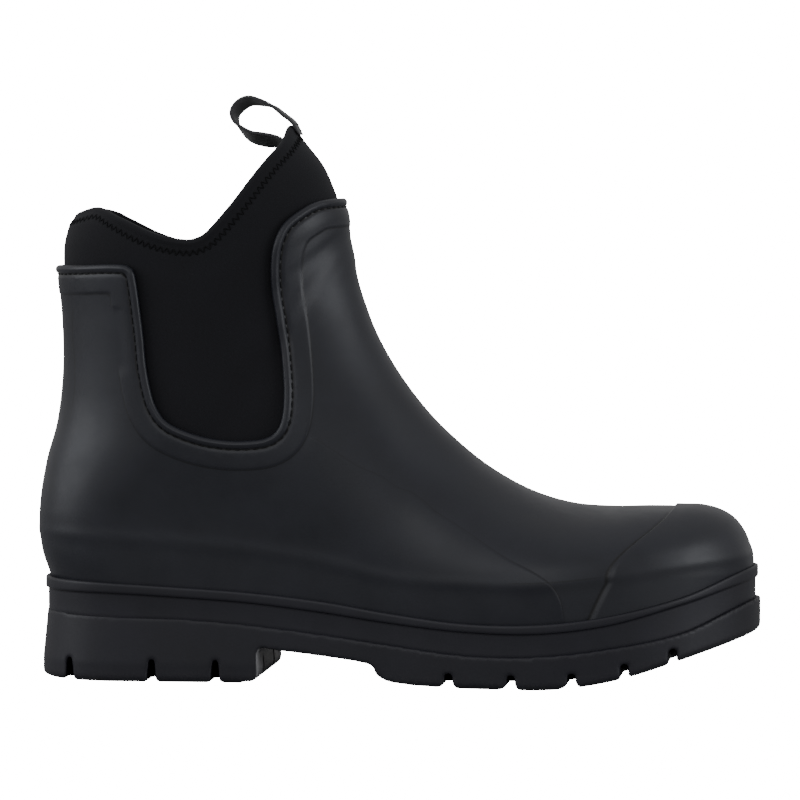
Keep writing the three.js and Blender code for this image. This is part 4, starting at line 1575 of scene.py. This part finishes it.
def shell_painted_shade_and_light(tree, colour):
    """The shell's moulded lines with painted shade in their depth, and a painted highlight that
    makes the corner by the cap lighter.
    """
    # Painted highlight: the corner by the cap is made lighter in the colour
    corner = math_node(tree, "MULTIPLY", attribute_value(tree, "corner"), 0.6)
    colour = mix_colour(tree, corner, colour, CORNER_PAINTED_LIGHT)
    ragged = math_node(tree, "SUBTRACT", noise(tree, 420.0, 2.0), 0.5)
    ragged = math_node(tree, "MULTIPLY", ragged, 1.1)
    seam = math_node(tree, "ADD", attribute_value(tree, "rim"), ragged)
    # Painted shade: each line is darkened in the colour along its groove or crease
    lines = (
        (seam, 3.5, 0.62, 0.9, None),
        (attribute_value(tree, "rim"), 11.45, 0.34, 0.62, "band_share"),
        (attribute_value(tree, "cap"), -0.65, 0.42, 0.85, None),
        (attribute_value(tree, "panel"), -0.30, 0.30, 0.75, "panel_share"),
        (attribute_value(tree, "stay"), 0.0, 0.36, 0.6, "stay_share"),
        (attribute_value(tree, "shoulder"), 1.0, 0.34, 0.6, "crease_share"),
    )
    for field, centre, half, depth, share in lines:
        part = attribute_value(tree, share) if share else None
        mask = math_node(tree, "MULTIPLY", line_mask(tree, field, centre, half, part), depth)
        colour = mix_colour(tree, mask, colour, PAINTED_SHADE_DARK)
    return colour


def rubber_material(name, dark, light, roughness, dust_field=None, dust_height=0.0, extra=None):
    """Moulded rubber: fine pebbled skin, faint cloudy gloss, rare scuffs and a little dust."""
    material, tree, shader = new_material(name)
    cloud = noise(tree, 38.0, 4.0)
    colour = mix_colour(tree, remap(tree, cloud, 0.35, 0.65, 0, 1), dark, light)
    scuff = noise(tree, 220.0, 5.0, 0.7, (1.0, 3.0, 3.5))
    scuff_mask = remap(tree, scuff, 0.68, 0.78, 0, 0.35)
    colour = mix_colour(tree, scuff_mask, colour, tuple(1.8 * part for part in light))
    if dust_field:
        field = attribute_value(tree, dust_field)
        speck = noise(tree, 900.0, 4.0, 0.65)
        low = remap(tree, field, 0.0, dust_height, 1.0, 0.0)
        dust = math_node(tree, "MULTIPLY", low, remap(tree, speck, 0.45, 0.75, 0.0, 0.3))
        colour = mix_colour(tree, dust, colour, DUST)
    # Painted shade in the moulded lines, and a painted highlight at the corner by the cap
    if extra == "lines":
        colour = shell_painted_shade_and_light(tree, colour)
    # Painted light on the heel's front face
    if extra == "breast_painted_light":
        colour = mix_colour(tree, attribute_value(tree, "breast_painted_light"), colour, BREAST_PAINTED_LIGHT)
        # Painted shade in the tread grooves and the heel's front slots
        colour = mix_colour(tree, attribute_value(tree, "depth"), colour, PAINTED_SHADE_DARK)
    link(tree, colour, shader.inputs["Base Color"])
    gloss = noise(tree, 75.0, 5.0, 0.6)
    rough = remap(tree, gloss, 0.3, 0.7, roughness - 0.045, roughness + 0.045)
    link(tree, rough, shader.inputs["Roughness"])
    grain = noise(tree, 2600.0, 3.0, 0.5)
    wave = noise(tree, 60.0, 2.0, 0.4)
    normal = bump(tree, wave, 0.10, 0.0009)
    normal = bump(tree, grain, 0.16, 0.00006, normal)
    link(tree, normal, shader.inputs["Normal"])
    shader.inputs["Specular IOR Level"].default_value = 0.42
    shader.inputs["IOR"].default_value = 1.5
    return material


KNIT_SCALE = 450.0
KNIT_TURN = 0.9
KNIT_DEPTH = 0.14


def cloth_material(name, dark, light, roughness, sheen):
    """Close knit cloth: fine rows and columns of loops with a soft nap."""
    material, tree, shader = new_material(name)
    cloud = noise(tree, 55.0, 4.0)
    fibre = noise(tree, 1800.0, 4.0, 0.7)
    colour = mix_colour(tree, remap(tree, cloud, 0.3, 0.7, 0, 1), dark, light)
    nap = remap(tree, fibre, 0.55, 0.8, 0, 0.5)
    colour = mix_colour(tree, nap, colour, tuple(2.0 * part for part in light))
    link(tree, colour, shader.inputs["Base Color"])
    coords = add_node(tree, "ShaderNodeTexCoord")
    heights = []
    for turn in (KNIT_TURN, -KNIT_TURN):
        mapping = add_node(tree, "ShaderNodeMapping")
        mapping.inputs["Rotation"].default_value = (0.0, turn, 0.0)
        link(tree, coords.outputs["Object"], mapping.inputs["Vector"])
        rows = add_node(tree, "ShaderNodeTexWave", wave_type="BANDS", bands_direction="X")
        rows.inputs["Scale"].default_value = KNIT_SCALE
        rows.inputs["Distortion"].default_value = 0.6
        rows.inputs["Detail"].default_value = 1.0
        link(tree, mapping.outputs["Vector"], rows.inputs["Vector"])
        heights.append(rows.outputs["Fac"])
    weave = math_node(tree, "MULTIPLY", heights[0], heights[1])
    normal = bump(tree, fibre, 0.16, 0.00012)
    normal = bump(tree, weave, KNIT_DEPTH, 0.0002, normal)
    link(tree, normal, shader.inputs["Normal"])
    rough = remap(tree, cloud, 0.3, 0.7, roughness - 0.04, roughness + 0.04)
    link(tree, rough, shader.inputs["Roughness"])
    shader.inputs["Sheen Weight"].default_value = sheen
    shader.inputs["Sheen Roughness"].default_value = 0.5
    shader.inputs["Specular IOR Level"].default_value = 0.2
    return material


def fade_to_rear(material, plain):
    """The seam's thread nearly sinks into the cloth round the back of the collar."""
    tree = material.node_tree
    shader = tree.nodes["Principled BSDF"]
    front = shader.inputs["Base Color"].links[0].from_socket
    coords = add_node(tree, "ShaderNodeTexCoord")
    split = add_node(tree, "ShaderNodeSeparateXYZ")
    link(tree, coords.outputs["Object"], split.inputs["Vector"])
    share = remap(tree, split.outputs["X"], REAR_SEAM[0], REAR_SEAM[1], 1.0, 0.0)
    link(tree, mix_colour(tree, share, front, plain), shader.inputs["Base Color"])


def webbing_material(name):
    """Flat woven ribbon: herringbone rows across its width, a tight selvedge and a slight shine."""
    material, tree, shader = new_material(name)
    width = attribute_value(tree, "width")
    run = attribute_value(tree, "run")
    along = math_node(tree, "MULTIPLY", run, 7.0)
    across = math_node(tree, "MULTIPLY", width, 5.0)
    slant = math_node(tree, "ADD", along, across)
    weave = math_node(tree, "SINE", slant)
    weave = math_node(tree, "MULTIPLY", math_node(tree, "ADD", weave, 1.0), 0.5)
    fibre = noise(tree, 2500.0, 3.0, 0.6)
    colour = mix_colour(tree, weave, (0.010, 0.010, 0.011), (0.035, 0.035, 0.038))
    link(tree, colour, shader.inputs["Base Color"])
    normal = bump(tree, fibre, 0.2, 0.0001)
    normal = bump(tree, weave, 0.5, 0.00025, normal)
    link(tree, normal, shader.inputs["Normal"])
    shader.inputs["Roughness"].default_value = 0.55
    shader.inputs["Sheen Weight"].default_value = 0.2
    return material


def look_at(thing, target):
    direction = Vector(target) - thing.location
    thing.rotation_euler = direction.to_track_quat("-Z", "Y").to_euler()


# The photo's angle to the boot: a long lens a little towards the toe, low above the ground
CAMERA_PLACE = (0.2055, -1.7886, 0.2002)
CAMERA_TARGET = (0.00168, -0.0002, 0.1082)
CAMERA_SENSOR = 36.0
CAMERA_LENS = 207.4
CAMERA_SHIFT = -0.0025


def make_camera():
    data = bpy.data.cameras.new("camera")
    data.sensor_width = CAMERA_SENSOR
    data.lens = CAMERA_LENS
    data.shift_x = CAMERA_SHIFT
    camera = placed("camera", data)
    camera.location = CAMERA_PLACE
    look_at(camera, CAMERA_TARGET)
    bpy.context.scene.camera = camera


LIGHT_TINT = (0.93, 0.955, 1.0)


def area_light(name, location, target, size, power):
    data = bpy.data.lights.new(name, "AREA")
    data.shape = "RECTANGLE"
    data.size = size[0]
    data.size_y = size[1]
    data.energy = power
    data.color = LIGHT_TINT
    light = placed(name, data)
    light.location = location
    look_at(light, target)


def seen_and_lit(tree, seen, lit):
    """One value for what the camera sees of the stage, another for the light it gives."""
    path = add_node(tree, "ShaderNodeLightPath")
    return remap(tree, path.outputs["Is Camera Ray"], 0.0, 1.0, lit, seen)


# Soft panels round the boot: name, place, target, size and power
PANELS = (
    ("top_panel", (0.35, 0.00, 1.25), (0.05, 0.0, 0.08), (1.1, 0.8), 0.6),
    ("front_panel", (-0.40, -1.60, 0.90), (0.0, 0.0, 0.10), (0.9, 0.9), 3.4),
    ("toe_panel", (1.35, -0.50, 0.42), (0.06, 0.0, 0.06), (0.7, 0.9), 6.6),
    ("vamp_panel", (1.00, -0.25, 0.98), (0.04, 0.0, 0.10), (0.8, 0.7), 0.3),
    ("heel_panel", (-1.22, -0.36, 0.60), (-0.08, 0.0, 0.08), (1.0, 0.9), 6.6),
)
WORLD_SEEN = 20.0
WORLD_LIT = 0.55
FLOOR_GLOW = 20.0
FLOOR_BASE = 0.35
FLOOR_REACH = 6.0


def make_studio():
    world = bpy.data.worlds.new("studio")
    world.use_nodes = True
    tree = world.node_tree
    background = tree.nodes["Background"]
    background.inputs["Color"].default_value = (1.0, 1.0, 1.0, 1.0)
    link(tree, seen_and_lit(tree, WORLD_SEEN, WORLD_LIT), background.inputs["Strength"])
    bpy.context.scene.world = world
    mesh = bpy.data.meshes.new("floor")
    reach = FLOOR_REACH
    corners = [(-reach, -reach, 0), (reach, -reach, 0), (reach, reach, 0), (-reach, reach, 0)]
    mesh.from_pydata(corners, [], [(0, 1, 2, 3)])
    material, tree, shader = new_material("floor_paper")
    shader.inputs["Base Color"].default_value = (FLOOR_BASE, FLOOR_BASE, FLOOR_BASE, 1.0)
    shader.inputs["Roughness"].default_value = 0.9
    shader.inputs["Specular IOR Level"].default_value = 0.1
    shader.inputs["Emission Color"].default_value = (1.0, 1.0, 1.0, 1.0)
    link(tree, seen_and_lit(tree, FLOOR_GLOW, 0.0), shader.inputs["Emission Strength"])
    mesh.materials.append(material)
    floor = placed("floor", mesh)
    for name, place, target, size, power in PANELS:
        area_light(name, place, target, size, power)


def settle(piece, slot, *nodes):
    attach(piece, "root")
    if nodes:
        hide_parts(*nodes)


make_camera()
make_studio()

shell_rubber = rubber_material("shell_rubber_look", RUBBER_DARK, RUBBER_LIGHT, 0.42, extra="lines")
sole_rubber = rubber_material(
    "sole_rubber_look",
    (0.0062, 0.0060, 0.0104),
    (0.0086, 0.0083, 0.0140),
    0.50,
    dust_field="ground",
    dust_height=6.0,
    extra="breast_painted_light",
)
band_rubber = rubber_material(
    "band_rubber_look", (0.0073, 0.0072, 0.0118), (0.0100, 0.0099, 0.0160), 0.48
)
# Cloths: name, dark, light, roughness and sheen
CLOTHS = (
    ("stretch_cloth_look", (0.0080, 0.0080, 0.0100), (0.0104, 0.0104, 0.0130), 0.88, 0.06),
    ("lining_cloth_look", (0.02, 0.02, 0.022), (0.035, 0.035, 0.038), 0.9, 0.12),
    ("foot_cloth_look", (0.03, 0.03, 0.033), (0.05, 0.05, 0.055), 0.95, 0.12),
)
THREADS = (
    ("thread_look", (0.0025, 0.0025, 0.003), (0.006, 0.006, 0.007), 0.6, 0.05),
    ("seam_thread_look", (0.0008, 0.0008, 0.001), (0.0016, 0.0016, 0.002), 0.8, 0.0),
)
stretch_cloth, lining_cloth, foot_cloth = [cloth_material(*values) for values in CLOTHS]
webbing = webbing_material("webbing_look")
thread, seam_thread = [cloth_material(*values) for values in THREADS]
fade_to_rear(seam_thread, (0.0045, 0.0045, 0.0056))

settle(make_shell([shell_rubber, lining_cloth]), "shell_rubber", "shell")
settle(make_midsole([band_rubber]), "sole_rubber", "midsole")
settle(make_outsole([sole_rubber]), "sole_rubber", "outsole")
settle(make_sleeve([stretch_cloth]), "stretch_cloth", "stretch_sleeve")
settle(make_insole([foot_cloth]), "insole_cloth", "insole")
settle(make_ribbon([webbing]), "webbing", "pull_loop")
settle(make_rim_stitches([thread]), "webbing")
settle(make_collar_stitches([seam_thread]), "webbing")
settle(make_ribbon_stitches([thread]), "webbing")
